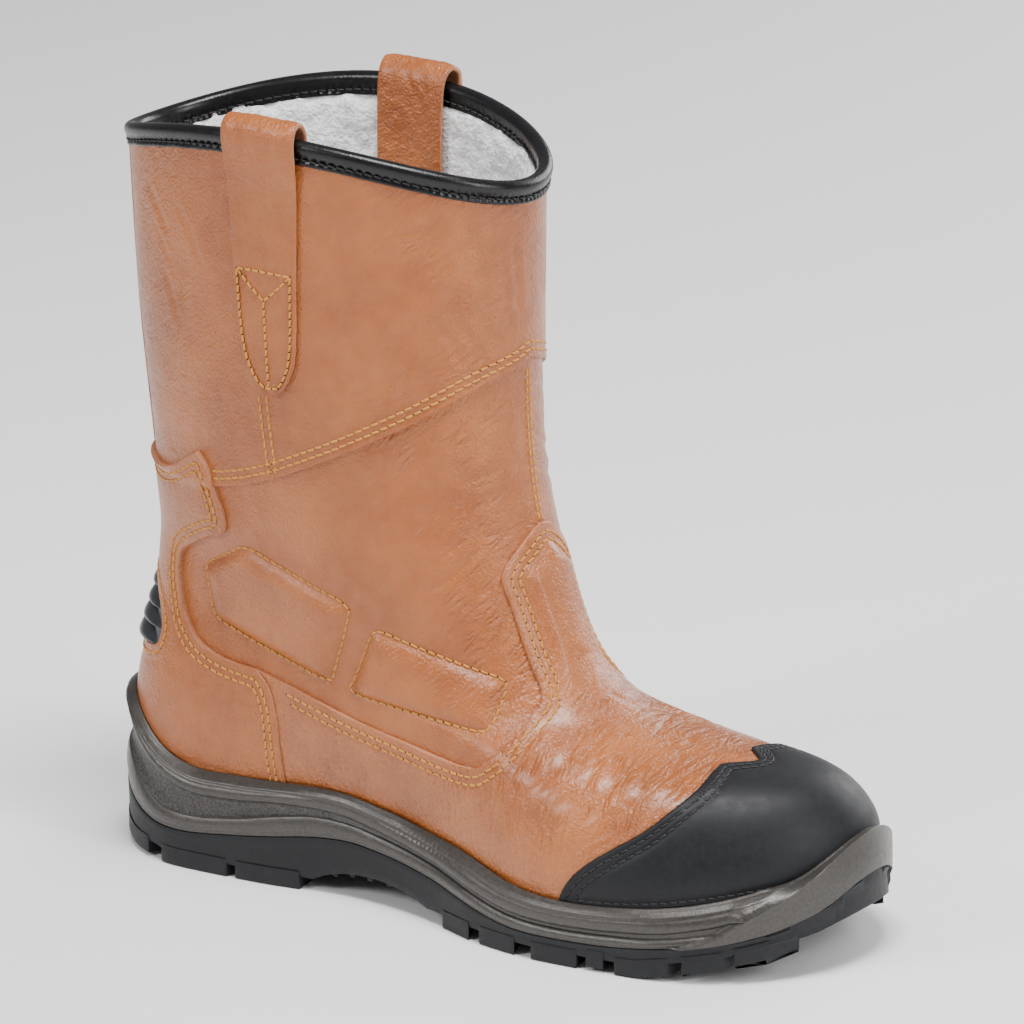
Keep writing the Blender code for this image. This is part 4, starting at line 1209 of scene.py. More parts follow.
@dataclass
class Overlays:
    """Counter, vamp, toe cap and back strip, sewn onto the upper."""
    counter_thickness: float = 2.2 * MM
    vamp_thickness: float = 1.5 * MM
    cap_thickness: float = 2.5 * MM
    strip_thickness: float = 3.1 * MM
    vamp_creases: tuple = VAMP_CREASES
    tongue_medial: float = .84                  # the tongue is narrower on its inner side

    def counter(self) -> Panel:
        """Counter with its tab and the window for the ribs."""
        return Panel("counter_skin", mirrored(HEEL_SEAM + COUNTER_TOP, 0), self.counter_thickness,
                     "counter_leather", "counter", holes=(mirrored(WINDOW, 0, True),),
                     channels=(3.3 * MM, 6.0 * MM),
                     crease=lambda places, points: np.full(len(places), .35))

    def vamp(self) -> Panel:
        """Vamp with its tongue, cut along the toe cap."""
        outline = mirrored([(180 - g, h) for g, h in HEEL_SEAM] + list(VAMP_TOP), 180)
        medial = (outline[:, 0] < math.pi) & (outline[:, 1] > .5)
        outline[medial, 0] = math.pi - (math.pi - outline[medial, 0]) * self.tongue_medial
        front = [(math.radians(180 - g), h) for g, h in TOE_CAP_EDGE]
        back = [(math.radians(180 + g), h) for g, h in TOE_CAP_EDGE[:-1]]
        outline = np.array([tuple(p) for p in outline] + front + back[::-1])
        return Panel("vamp_skin", outline, self.vamp_thickness, "vamp_leather", "vamp",
                     shape=self.tongue, crease=self.flexing, channels=(3.3 * MM, 6.2 * MM))

    def tongue(self, places: Array, points: Array, gap: Array) -> Array:
        """Padding under the tongue and the troughs where the foot bends."""
        height = places[:, 1]
        swell = 2.6 * MM * smooth((height - .50) / .10) * smooth((gap - 6.6 * MM) / (6 * MM))
        return swell + creased(points, self.vamp_creases) + .35 * MM * cloud(points, 22 * MM, 6)

    @staticmethod
    def flexing(places: Array, points: Array) -> Array:
        """How strongly the fine creases and their painted shade show, most across the bend of the
        foot.
        """
        x = points[:, 0] - ORIGIN[0]
        bend = smooth((x - 150 * MM) / (40 * MM)) * (1 - .5 * smooth((x - 262 * MM) / (30 * MM)))
        high = smooth((points[:, 2] - 36 * MM) / (16 * MM))
        plain = 1 - .7 * smooth((places[:, 1] - .55) / .05)
        return np.clip(.35 + .75 * bend * high, 0, 1) * plain

    def cap(self) -> Panel:
        """Scuff cap over the toe."""
        return Panel("toe_cap_skin", mirrored(TOE_CAP_EDGE, 180), self.cap_thickness, "cap_coating",
                     "toe_cap", "cap_black", edge_finish="cap_coating", edge_round=.8 * MM,
                     channels=(2.6 * MM, 5.4 * MM), channel_depth=.5 * MM)

    def strip(self) -> Panel:
        """Strip down the back seam."""
        low, high, half = .705, .984, 11.5 * MM
        rows = []
        for height in np.linspace(low, high, 8):
            ends = Last.point(np.array([(-.05, height), (.05, height)]))
            reach = np.linalg.norm(np.diff(ends, axis=0)) / .1
            rows.append((half / reach, height))
        outline = np.array([(-a, h) for a, h in rows] + [(a, h) for a, h in reversed(rows)])
        return Panel("back_strip_skin", outline, self.strip_thickness - SHAFT_STEP,
                     "counter_leather", "back_strip", channels=(2.8 * MM,), edge_round=.5 * MM,
                     crease=lambda places, points: np.full(len(places), .4))

    def build(self) -> None:
        """Builds and sews every overlay."""
        counter, vamp, cap, strip = self.counter(), self.vamp(), self.cap(), self.strip()
        for panel in (counter, vamp, cap, strip):
            panel.build()
        gold = Seam("overlay_stitches", "panel_leather")
        counter.rows(gold, keep=lambda row: row[:, 1] > .05)
        vamp.rows(gold, keep=self.vamp_sewn)
        strip.rows(gold, keep=lambda row: (row[:, 1] > .76) & (row[:, 1] < .975))
        gold.sew()
        black = Seam("toe_cap_stitches", "cap_black", thread_finish="black_thread", thread=.42 * MM)
        cap.rows(black, keep=lambda row: (row[:, 1] > .045) & (np.abs(row[:, 0] - math.pi) < 1.2))
        black.sew()

    @staticmethod
    def vamp_sewn(row: Array) -> Array:
        """The vamp is sewn along its top edge alone."""
        angle = np.abs(np.degrees(row[:, 0]) - 180)
        edge = np.interp(angle, *np.array(TOE_CAP_EDGE[::-1]).T)
        near_cap = ((angle < 65.4) & (row[:, 1] < edge + .055)) | ((angle < 80) & (row[:, 1] < .14))
        return ~near_cap & (row[:, 1] > .05) & (angle < 112.5)


def level_normal(places: Array) -> Array:
    """Outward unit normals laid level."""
    normal = Last.normal(places) * (1, 1, 0)
    return normal / np.linalg.norm(normal, axis=-1, keepdims=True)


@dataclass
class Collar:
    """Rolled binding round the top edge, and the fleece lining inside."""
    columns: int = 480
    stitch_down: float = 5.3 * MM
    stitch_count: int = 150
    fleece: float = 3.6 * MM

    def section(self) -> Array:
        """Outline of the roll, as stand-off and height from the leather's top edge."""
        knots = np.array([(1.45, -7.3), (1.95, -7.5), (2.35, -7.1), (2.30, -6.2), (2.0, -5.3),
                          (2.25, -4.4), (2.6, -3.5), (3.0, -2.4), (3.05, -1.2), (2.7, -.1),
                          (1.8, .8), (.6, 1.15), (-.8, 1.05), (-1.9, .5), (-2.6, -.5),
                          (-2.8, -1.7), (-2.7, -3.1), (-2.55, -4.6), (-2.5, -6.0),
                          (-2.6, -7.0), (-2.2, -7.5), (-1.6, -7.3)]) * MM
        return spline(knots, np.linspace(0, 1, 44))

    def binding(self) -> None:
        """Builds the binding with the puckers that its stitches pull."""
        girth = np.arange(self.columns * 2) * math.pi / self.columns
        places = np.column_stack([girth, np.ones(len(girth))])
        edge, level = Last.off(places, SHAFT_STEP), level_normal(places)
        under = places.copy()
        under[:, 1] -= .0135
        down = Last.off(under, SHAFT_STEP) - edge
        down /= np.linalg.norm(down, axis=1, keepdims=True)
        pull = np.cos(girth * self.stitch_count) * .5 + .5
        rows = []
        for out, up in self.section():
            rise = UP * up if up > 0 else down * -up
            crease = bell(up + self.stitch_down, 1.5 * MM) * .32 * MM * (1 - pull) * np.sign(out)
            flutter = .18 * MM * cloud(edge + up * 3, 7 * MM, 9) * (up < -4 * MM)
            rows.append(edge + level * (out - SHAFT_STEP - crease + flutter)[:, None] + rise)
        obj = make_object("collar_binding_skin", np.concatenate(rows),
                          [quads(len(rows), len(girth))], [FINISHES["rolled_black"]], None, None)
        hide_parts("collar_binding")
        report(obj)
        seam = Seam("binding_stitches", "binding_black", pitch=3.5 * MM,
                    thread_finish="black_thread", thread=.34 * MM)
        for out in (2.05 * MM, -2.6 * MM):
            line = edge + level * (out - SHAFT_STEP) + down * self.stitch_down
            facing = level * np.sign(out)
            seam.along_points(*(np.concatenate([v, v[:1]]) for v in (line, facing)))
        seam.sew()

    def lining(self) -> None:
        """Builds the fleece from the binding down to the insole."""
        high = np.concatenate([np.linspace(.9895, .72, 128), np.linspace(.72, .018, 60)[1:]])
        girth = np.arange(self.columns) * 2 * math.pi / self.columns
        places = np.stack(np.broadcast_arrays(girth, high[:, None]), -1)
        flat = places.reshape(-1, 2)
        points = Last.point(flat)
        fade = smooth((.992 + .006 * cloud(points, 5 * MM, 3) - flat[:, 1]) / .014)
        loose = smooth((flat[:, 1] - .66) / .1)
        lumps = self.lumps(points, 5.2 * MM, 21) * 1.3 + self.lumps(points, 2.9 * MM, 4) * .9
        lumps += 1.0 * cloud(points, 11 * MM, 8) + .5 * cloud(points, 1.6 * MM, 12)
        swell = np.clip(self.fleece * .45 + .85 * MM * lumps, .3 * MM, self.fleece + .9 * MM)
        for middle in (PullLoop.middle, 360 - PullLoop.middle):
            turn = np.degrees(flat[:, 0]) - middle
            held = smooth((12.5 - np.abs(turn)) / 2) * smooth((flat[:, 1] - .80) / .03)
            swell = swell * (1 - held) + held * np.minimum(swell, 2.4 * MM)
        wall = np.where(flat[:, 1] > seam_height(flat[:, 0]), .9, .9 + 1.3 * (1 - loose)) * MM
        obj = make_object("lining_skin", Last.off(flat, -wall - swell * fade),
                          [quads(len(high), self.columns)], [FINISHES["fleece"]], None, None)
        report(obj)

    @staticmethod
    def lumps(points: Array, size: float, seed: int) -> Array:
        """Rounded tufts of one size, from 0 between them to 1 on top."""
        place = points / size
        cell = np.floor(place).astype(np.int64)
        nearest = np.full(len(points), 9.0)
        for corner in range(27):
            step = np.array([corner % 3 - 1, corner // 3 % 3 - 1, corner // 9 - 1])
            here = cell + step
            key = here @ CELL_KEY + seed * 7919
            shift = []
            for _ in range(3):
                key = (key ^ (key >> 13)) * KEY_STIR & KEY_LIMIT
                shift.append(key / KEY_LIMIT)
            gap = np.linalg.norm(here + np.stack(shift, -1) - place, axis=1)
            nearest = np.minimum(nearest, gap)
        return np.sqrt(np.clip(1 - nearest / .95, 0, 1))

    def build(self) -> None:
        """Builds the binding and the lining."""
        self.binding()
        self.lining()


@dataclass
class PullLoop:
    """Strap sewn down outside and inside, arched over the collar."""
    side: Side
    middle: float = 268
    thickness: float = 1.9 * MM
    # run along the strap: stand-off from the last and height above the collar's edge
    path: tuple = ((2.6, -97), (2.6, -91), (2.6, -80), (2.6, -60), (2.7, -24), (4.4, -8.5),
                   (5.3, -1), (4.7, 4), (1.4, 6.6), (-2.4, 5.4), (-4.9, 1), (-5.9, -9),
                   (-6.3, -30), (-6.3, -52))
    # half the strap's width at heights on its outer leg
    half_widths: tuple = ((-97, .4), (-96, 3.0), (-94, 5.2), (-90, 8.0), (-84, 10.6), (-77, 12.0),
                          (-68, 12.7), (-50, 13.3), (-30, 13.9), (-10, 14.6), (4, 14.9))

    def centre_line(self) -> tuple[Array, Array]:
        """Fine run of the strap: stand-off and height, and half width."""
        knots = np.array(self.path)
        rows = [knots[0]]
        for i in range(len(knots) - 1):
            p0, p1, p2, p3 = (knots[min(max(i + k, 0), len(knots) - 1)] for k in (-1, 0, 1, 2))
            u = np.linspace(0, 1, max(3, int(np.linalg.norm(p2 - p1) / .9)))[1:, None]
            rows.extend(.5 * (2 * p1 + (p2 - p0) * u + (2 * p0 - 5 * p1 + 4 * p2 - p3) * u ** 2
                              + (3 * p1 - 3 * p2 + p3 - p0) * u ** 3))
        line = np.array(rows)
        widths = np.array(self.half_widths)
        half = np.interp(line[:, 1], widths[:, 0], widths[:, 1])
        over = int(np.argmax(line[:, 1]))
        half[over:] = widths[-1, 1]
        return line * MM, half * MM

    def surface(self, share: Array, out: Array) -> tuple[Array, Array]:
        """Points of the strap and its normals.

        Args:
            share: Places across, from -1 to 1, one for each column.
            out: Height above the middle of the leather, by row and column.

        Returns:
            Points and normals, by row and column.
        """
        line, half = self.centre_line()
        middle = math.radians(self.middle if self.side is Side.LATERAL else 360 - self.middle)
        edge = Last.point(np.array([middle, 1.0]))
        per_height = np.linalg.norm(edge - Last.point(np.array([middle, .9]))) / .1
        across = np.linalg.norm(Last.point(np.array([middle + .05, 1]))
                                - Last.point(np.array([middle - .05, 1]))) / .1
        girth = middle + share[None, :] * half[:, None] / across
        height = np.minimum(1 + line[:, 1] / per_height, 1 - 2e-4)
        places = np.stack(np.broadcast_arrays(girth, height[:, None]), -1)
        level = level_normal(places)
        ahead = np.gradient(line, axis=0)
        ahead /= np.linalg.norm(ahead, axis=1, keepdims=True)
        # out of the strap: outwards on the outer run, up at the top, inwards inside
        outward, upward = ahead[:, 1][:, None, None], ahead[:, 0][:, None, None]
        facing = level * outward - UP * upward
        base = Last.point(places)
        base = base + level * line[:, 0][:, None, None]
        base[..., 2] += np.maximum(line[:, 1], 0)[:, None]
        return base + facing * out[..., None], facing

    def build(self) -> None:
        """Builds the strap as leather with rounded edges, and stitches it."""
        line, half = self.centre_line()
        columns = np.concatenate([[-1, -.985, -.95], np.linspace(-.9, .9, 23), [.95, .985, 1]])
        count = len(line)
        wide = half[:, None] * columns[None]
        gap = half[:, None] - np.abs(wide)
        shape = self.thickness / 2 + edge_rounding(gap, .45 * MM)
        points, _ = self.surface(columns, np.zeros_like(gap))
        spread = points.reshape(-1, 3) @ np.array([[1.6, 0, 1.1], [0, 1.6, 0], [-.9, 0, .8]])
        fold = np.abs(cloud(spread, 7 * MM, 31)) - np.abs(cloud(spread, 4.2 * MM, 32)) * .5
        above = smooth((line[:, 1][:, None] + 66 * MM) / (16 * MM))
        wrinkle = .55 * MM * fold.reshape(gap.shape) * above
        wrinkle += .2 * MM * cloud(points.reshape(-1, 3), 12 * MM, 33).reshape(gap.shape)
        low = line[:, 1][:, None] < -48 * MM
        outside = (np.arange(count) < count // 2)[:, None]
        press = np.where(low & outside, bell(gap - 1.9 * MM, .7 * MM) * .3 * MM, 0)
        outer, _ = self.surface(columns, shape + np.where(gap > 1 * MM, wrinkle, 0) - press)
        inner, _ = self.surface(columns, -shape)
        vertices = np.concatenate([outer.reshape(-1, 3), inner.reshape(-1, 3)])
        n = len(columns)
        face = quads(count, n, around=False)
        turned = face[:, ::-1] + count * n
        sides = []
        for j, flip in ((0, False), (n - 1, True)):
            a = np.arange(count - 1) * n + j
            side = np.stack([a, a + n, a + n + count * n, a + count * n], -1)
            sides.append(side[:, ::-1] if flip else side)
        ends = []
        for i, flip in ((0, True), (count - 1, False)):
            a = i * n + np.arange(n - 1)
            end = np.stack([a, a + 1, a + 1 + count * n, a + count * n], -1)
            ends.append(end[:, ::-1] if flip else end)
        faces = np.concatenate([face, turned, *sides, *ends])
        kinds = np.concatenate([np.zeros(len(face), int), np.full(len(faces) - len(face), 1)])
        crease_and_shade_mask = np.full(len(vertices), .6)
        name = "pull_loop_" + self.side.name.lower()
        obj = make_object(name + "_skin", vertices, [faces],
                          [FINISHES["counter_leather"], FINISHES["raw_edge"]], kinds, 60,
                          {"crease": crease_and_shade_mask})
        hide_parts(name)
        report(obj)
        self.sew(name)

    def sew(self, name: str) -> None:
        """Stitches the strap's outer end: its edge, a cross seam, a V and a middle line."""
        line, half = self.centre_line()
        top = int(np.argmin(np.abs(line[:len(line) // 2, 1] + 49 * MM)))
        seam = Seam(name + "_stitches", "panel_leather", pitch=3.1 * MM)

        def place(rows: Array, wides: Array) -> tuple[Array, Array]:
            """Points and normals at rows of the strap and distances from its middle."""
            points, normals = [], []
            for row, wide in zip(rows, wides):
                i = int(np.clip(row, 0, len(line) - 1))
                u = row - i
                reach = half[i] * (1 - u) + half[min(i + 1, len(line) - 1)] * u
                share = np.clip(wide / max(reach, 1e-6), -1, 1)
                surface, facing = fixed(share, i, u)
                points.append(surface)
                normals.append(facing)
            return np.array(points), np.array(normals)

        columns = 41
        grid, face = self.surface(np.linspace(-1, 1, columns),
                                  np.full((len(line), columns), self.thickness / 2))

        def fixed(share: float, i: int, u: float) -> tuple[Array, Array]:
            """Point and normal at a share across the strap, a part u of the way on from row i."""
            j = (share + 1) * (columns - 1) / 2
            k = int(np.clip(j, 0, columns - 2))
            v = j - k
            i = min(i, len(line) - 2)
            value = [(g[i, k] * (1 - v) + g[i, k + 1] * v) * (1 - u)
                     + (g[i + 1, k] * (1 - v) + g[i + 1, k + 1] * v) * u for g in (grid, face)]
            return value[0], value[1] / np.linalg.norm(value[1])

        low = int(np.argmin(np.abs(line[:len(line) // 2, 1] + 94 * MM)))
        rows = np.linspace(low, top, 80)
        inset = np.interp(rows, np.arange(len(line)), half) - 1.9 * MM
        right = place(rows, inset)
        left = place(rows, -inset)
        seam.along_points(np.concatenate([right[0][::-1], left[0]]),
                          np.concatenate([right[1][::-1], left[1]]))
        wide = half[top] - 1.9 * MM
        seam.along_points(*place(np.full(30, top), np.linspace(-wide, wide, 30)))
        apex = int(np.argmin(np.abs(line[:len(line) // 2, 1] + 60 * MM)))
        for sign in (-1, 1):
            seam.along_points(*place(np.linspace(top, apex, 30), sign * np.linspace(wide, 0, 30)))
        seam.along_points(*place(np.linspace(apex, low, 60), np.zeros(60)))
        seam.sew()


@dataclass
class HeelRibs(Skin):
    """Black rubber ribs in the counter's window, for pushing the boot off."""
    count: int = 4
    reach: float = 5.0 * MM

    def stand(self, places: Array) -> Array:
        """Stand-off of the plate behind the ribs."""
        return np.full(len(places), .9 * MM)

    def build(self) -> None:
        """Builds a back plate and the overlapping ribs as one object."""
        window = np.array(WINDOW, float)
        low, high = window[0, 1], window[-1, 1]
        pitch = (high - low) / self.count
        plate_rows, rows, columns = 24, 30, 61
        share = np.linspace(-1, 1, columns)
        heights = np.linspace(low + .001, high - .001, plate_rows)
        limit = np.radians(np.interp(heights, window[2:, 1], window[2:, 0]) + 1)
        plate = np.stack(np.broadcast_arrays(limit[:, None] * share, heights[:, None]), -1)
        vertices = [Last.off(plate, .9 * MM).reshape(-1, 3)]
        faces = [quads(plate_rows, columns, around=False)]
        first = plate_rows * columns
        # section of one rib, from its buried top round its lip to its buried underside
        knots = np.array([(.2, 1.28), (1.4, 1.16), (2.8, .92), (4.1, .60), (4.9, .28), (5.05, .08),
                          (4.7, -.06), (3.6, -.10), (2.0, -.02), (.2, .06)])
        section = spline(knots, np.linspace(0, 1, rows))
        for k in range(self.count):
            middle = low + pitch * k
            bow = .010 * np.abs(share) ** 2
            thin = (1 - np.abs(share) ** 3.2) ** .8 * (1 - .07 * k)
            out = section[:, 0][:, None] * MM * thin[None] * self.reach / (5 * MM)
            height = middle + pitch * section[:, 1][:, None] * (.25 + .75 * thin[None]) + bow[None]
            height = np.minimum(height, high - .001)
            centre = np.clip(middle + .5 * pitch, low, high)
            limit = np.radians(np.interp(centre, window[2:, 1], window[2:, 0]) - .6)
            girth = np.broadcast_to(limit * share, height.shape)
            rib = Last.off(np.stack([girth, height], -1), out + .3 * MM)
            vertices.append(rib.reshape(-1, 3))
            faces.append(quads(rows, columns, around=False, flip=True) + first)
            first += rows * columns
        obj = make_object("heel_ribs_skin", np.concatenate(vertices), faces,
                          [FINISHES["rib_rubber"]], None, 70)
        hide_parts("heel_ribs")
        report(obj)


SOLE_LENGTH = 308 * MM
SOLE_COLUMNS = ("x", "outer_half", "inner_half")
SOLE_PLAN = np.array([(0, 42.5, 43), (60, 42.5, 43), (80, 41.5, 42.5), (105, 38.5, 41),
                      (130, 39, 41), (155, 44, 44), (175, 51, 49), (200, 55, 53.5), (225, 55.5, 55.5),
                      (245, 55.5, 54.5), (308, 56, 52)]) * MM
SOLE_BACK_ROUND, SOLE_FRONT_ROUND = 46 * MM, 62 * MM
SIDE_COLUMNS = ("x", "top", "upper_groove", "lower_groove", "joint")
SOLE_SIDE = np.array([(0, 59, 55, 40, 28), (12, 58, 52, 36, 22), (22, 51, 42, 28.5, 17.5),
                      (32, 44, 36, 23, 15), (45, 39, 31, 21.3, 14.4), (65, 38.6, 30.4, 23, 16.4),
                      (85, 39.6, 32.1, 27, 19), (100, 40.6, 32, 29.2, 21.1), (115, 40.4, 31, 29, 22),
                      (130, 37.6, 28.2, 26.6, 20.6), (150, 33.6, 24.6, 23.2, 17.8),
                      (170, 30.6, 21, 19.5, 14.5), (195, 25.4, 16, 14.6, 10.2),
                      (215, 23.8, 14.9, 13.6, 9.7), (240, 25, 16.1, 14.6, 10.6),
                      (265, 28.2, 19.2, 17, 13.6), (282, 33, 24, 21, 16.8), (295, 39, 33, 27, 21.5),
                      (303, 48.5, 42, 34, 27), (308, 57, 49, 41, 34)]) * MM
BUMPER_EDGE_COLUMNS = ("x", "z")              # climbs from the joint to the lip over the toe
BUMPER_EDGE = np.array([(246, 9.5), (256, 11.6), (266, 14.9), (274, 18.3), (283, 25.4),
                        (294, 37.3), (302, 48), (308, 60)]) * MM
BUMPER_START, BUMPER_TIP, BUMPER_BLEND = 254 * MM, 294 * MM, 10 * MM
TREAD_COLUMNS = ("x", "z")                    # the outsole's underside
TREAD = np.array([(0, 7), (8, 3.4), (17, 1.4), (30, .9), (36, 0), (247, 0),
                  (262, 2.6), (278, 5.4), (292, 8.8), (301, 11.6), (308, 15.5)]) * MM


def sole_plan(girth: Array, grow: Array | float) -> Array:
    """The sole's plan at girth angles, grown outwards.

    Args:
        girth: Angles, 0 at the heel's back.
        grow: How far outside the sole's outline, for all or for each.

    Returns:
        x from the sole's back and y, for each angle.
    """
    x = SOLE_LENGTH * (1 - np.cos(girth)) / 2
    full = round_end(x / SOLE_BACK_ROUND) * round_end((SOLE_LENGTH - x) / SOLE_FRONT_ROUND)
    outer, inner = along(SOLE_PLAN, x, 1) + grow, along(SOLE_PLAN, x, 2) + grow
    y = along(CENTRE, x) + np.where(np.sin(girth) >= 0, inner, -outer) * full
    return np.stack([x - grow * np.cos(girth), y], -1)


def side_line(x: Array, name: str) -> Array:
    """Height of one line of the sole's side."""
    return along(SOLE_SIDE, x, SIDE_COLUMNS.index(name))


def underside(x: Array) -> Array:
    """Height of the tread's ground face."""
    return np.interp(x, *TREAD.T)


def even_girths(count: int) -> Array:
    """Angles whose points lie evenly along the sole's outline."""
    girth = np.linspace(0, 2 * math.pi, 4000)
    line = sole_plan(girth, 0)
    run = run_along(line)
    return np.interp(np.arange(count) * run[-1] / count, run, girth)


@dataclass
class Midsole:
    """Grey moulded cup: rolled top, sunk speckled band at the heel, fine ribs and toe bumper."""
    columns: int = 900
    room: float = 2.65 * MM
    fine_ribs: tuple = (128 * MM, 182 * MM)     # where the top roll is finely ribbed
    rib_pitch: float = 1.25 * MM
    face: float = 1.5 * MM                      # how far the toe bumper stands out
    speckled: float = 200 * MM                  # where the sunk band's rough finish ends

    def build(self) -> None:
        """Builds the cup."""
        girth = even_girths(self.columns)
        x = SOLE_LENGTH * (1 - np.cos(girth)) / 2
        joint, lower, upper = (side_line(x, name)
                               for name in ("joint", "lower_groove", "upper_groove"))
        recess = upper - lower
        deep = 1.5 * MM * smooth((recess - 1.8 * MM) / (5 * MM))
        rings, tags = [], []

        def ring(z: Array, grow: Array, tag: int) -> None:
            """Adds a ring at heights, grown outwards, and the finish of the faces above it."""
            rings.append(np.column_stack([sole_plan(girth, grow), z]))
            tags.append(tag)

        # lower band: a slight roll, with a bead along its foot
        for share in np.linspace(0, 1, 13):
            swell = 1.1 * MM * math.sin(math.pi * share) ** .8
            bead = .35 * MM * (math.exp(-((share - .10) / .07) ** 2)
                               - math.exp(-((share - .22) / .05) ** 2))
            z = joint + (lower - joint) * share
            own, rise = self.bumper(x, z)
            ring(z, (swell + bead) * (1 - own) + self.lean(x, z) * own + rise, 0)
        # sunk band, speckled at the heel
        for share in np.linspace(0, 1, 11):
            z = lower + recess * share
            slope = smooth(min(share, 1 - share) / .16)
            sunk = .15 * MM + deep * slope + .75 * MM * (1 - smooth(recess / (3 * MM))) * slope
            own, rise = self.bumper(x, z)
            ring(z, -sunk * (1 - own) + self.lean(x, z) * own + rise, 1)
        # top roll up to the lip on the leather
        at = self.at_top(girth)
        lip = Last.off(at, np.full(len(girth), self.room + .9 * MM)) - ORIGIN
        start = rings[-1]
        out = level_normal(at)
        back, front = self.fine_ribs
        ribbed = smooth((x - back) / (12 * MM)) * smooth((front - x) / (25 * MM))
        run = run_along(start[:, :2])
        teeth = (.5 + .5 * np.cos(run / self.rib_pitch * 2 * math.pi)) * ribbed
        for share in np.linspace(0, 1, 19)[1:]:
            line = start + (lip - start) * share
            roll = 2.1 * MM * math.sin(math.pi * share) ** .62
            groove = (-.30 * MM * math.exp(-((share - .60) / .07) ** 2)
                      + .22 * MM * math.exp(-((share - .72) / .06) ** 2))
            tooth = teeth * .34 * MM * math.exp(-((share - .62) / .26) ** 4)
            own, rise = self.bumper(x, line[:, 2])
            swell = (roll + groove - tooth) * (1 - own) + .9 * MM * math.sin(math.pi * share) * own
            line = line + out * (swell + rise)[:, None]
            rings.append(line)
            tags.append(0)
        # over the lip and down against the leather
        for stand, drop in ((.5, .35), (.0, .3), (-.6, -.3), (-1.2, -2.5), (-2.4, -6)):
            rings.append(Last.off(at, np.full(len(girth), self.room + stand * MM)) - ORIGIN
                         + UP * drop * MM)
            tags.append(0)
        points = np.concatenate(rings) + ORIGIN
        mottled = .05 * MM * cloud(points, 1.4 * MM, 40)
        points[:, :2] += mottled[:, None]
        faces = quads(len(rings), self.columns)
        kinds = np.repeat(np.array(tags[:-1]), self.columns)
        column = np.tile(np.arange(self.columns), len(rings) - 1)
        rough = (recess[column] > 2.2 * MM) & (kinds == 1) & (x[column] < self.speckled)
        kinds = np.where(rough, 1, 0)
        obj = make_object("midsole_skin", points, [faces],
                          [FINISHES["sole_grey"], FINISHES["sole_rough"]], kinds, 75)
        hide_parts("midsole")
        report(obj)

    def lean(self, x: Array, z: Array) -> Array:
        """How far the bumper's face stands out: it leans back over the toe."""
        high, ahead = smooth((z - 34 * MM) / (18 * MM)), smooth((x - 296 * MM) / (10 * MM))
        return self.face - 2.2 * MM * high * ahead

    @staticmethod
    def bumper(x: Array, z: Array) -> tuple[Array, Array]:
        """How far a point belongs to the toe bumper, and how far the bumper's edge lifts it."""
        below = np.interp(x, *BUMPER_EDGE.T) - z
        begins = smooth((x - BUMPER_START) / BUMPER_BLEND)
        own = smooth((below + .6 * MM) / (1.6 * MM)) * begins
        under = below - .8 * MM
        crest = np.where(under > 0, np.exp(-under / (3.5 * MM)), bell(under, .8 * MM))
        ends = 1 - smooth((x - BUMPER_TIP) / BUMPER_BLEND)
        return own, .9 * MM * crest * begins * ends

    @staticmethod
    def at_top(girth: Array) -> Array:
        """Places where the last crosses the cup's top line."""
        low, high = np.zeros(len(girth)), np.full(len(girth), .35)
        for _ in range(30):
            middle = (low + high) / 2
            point = Last.point(np.column_stack([girth, middle])) - ORIGIN
            below = point[:, 2] < side_line(point[:, 0], "top")
            low, high = np.where(below, middle, low), np.where(below, high, middle)
        return np.column_stack([girth, (low + high) / 2])


@dataclass(frozen=True)
class Lug:
    """Block of the tread, given by its middle, length and slant along the sole."""
    x: float
    length: float
    slant: float = 0
    reach: float = 22                 # from the sole's edge inwards, in millimetres
    drop: float = 0                   # its ground face above the tread's, in millimetres


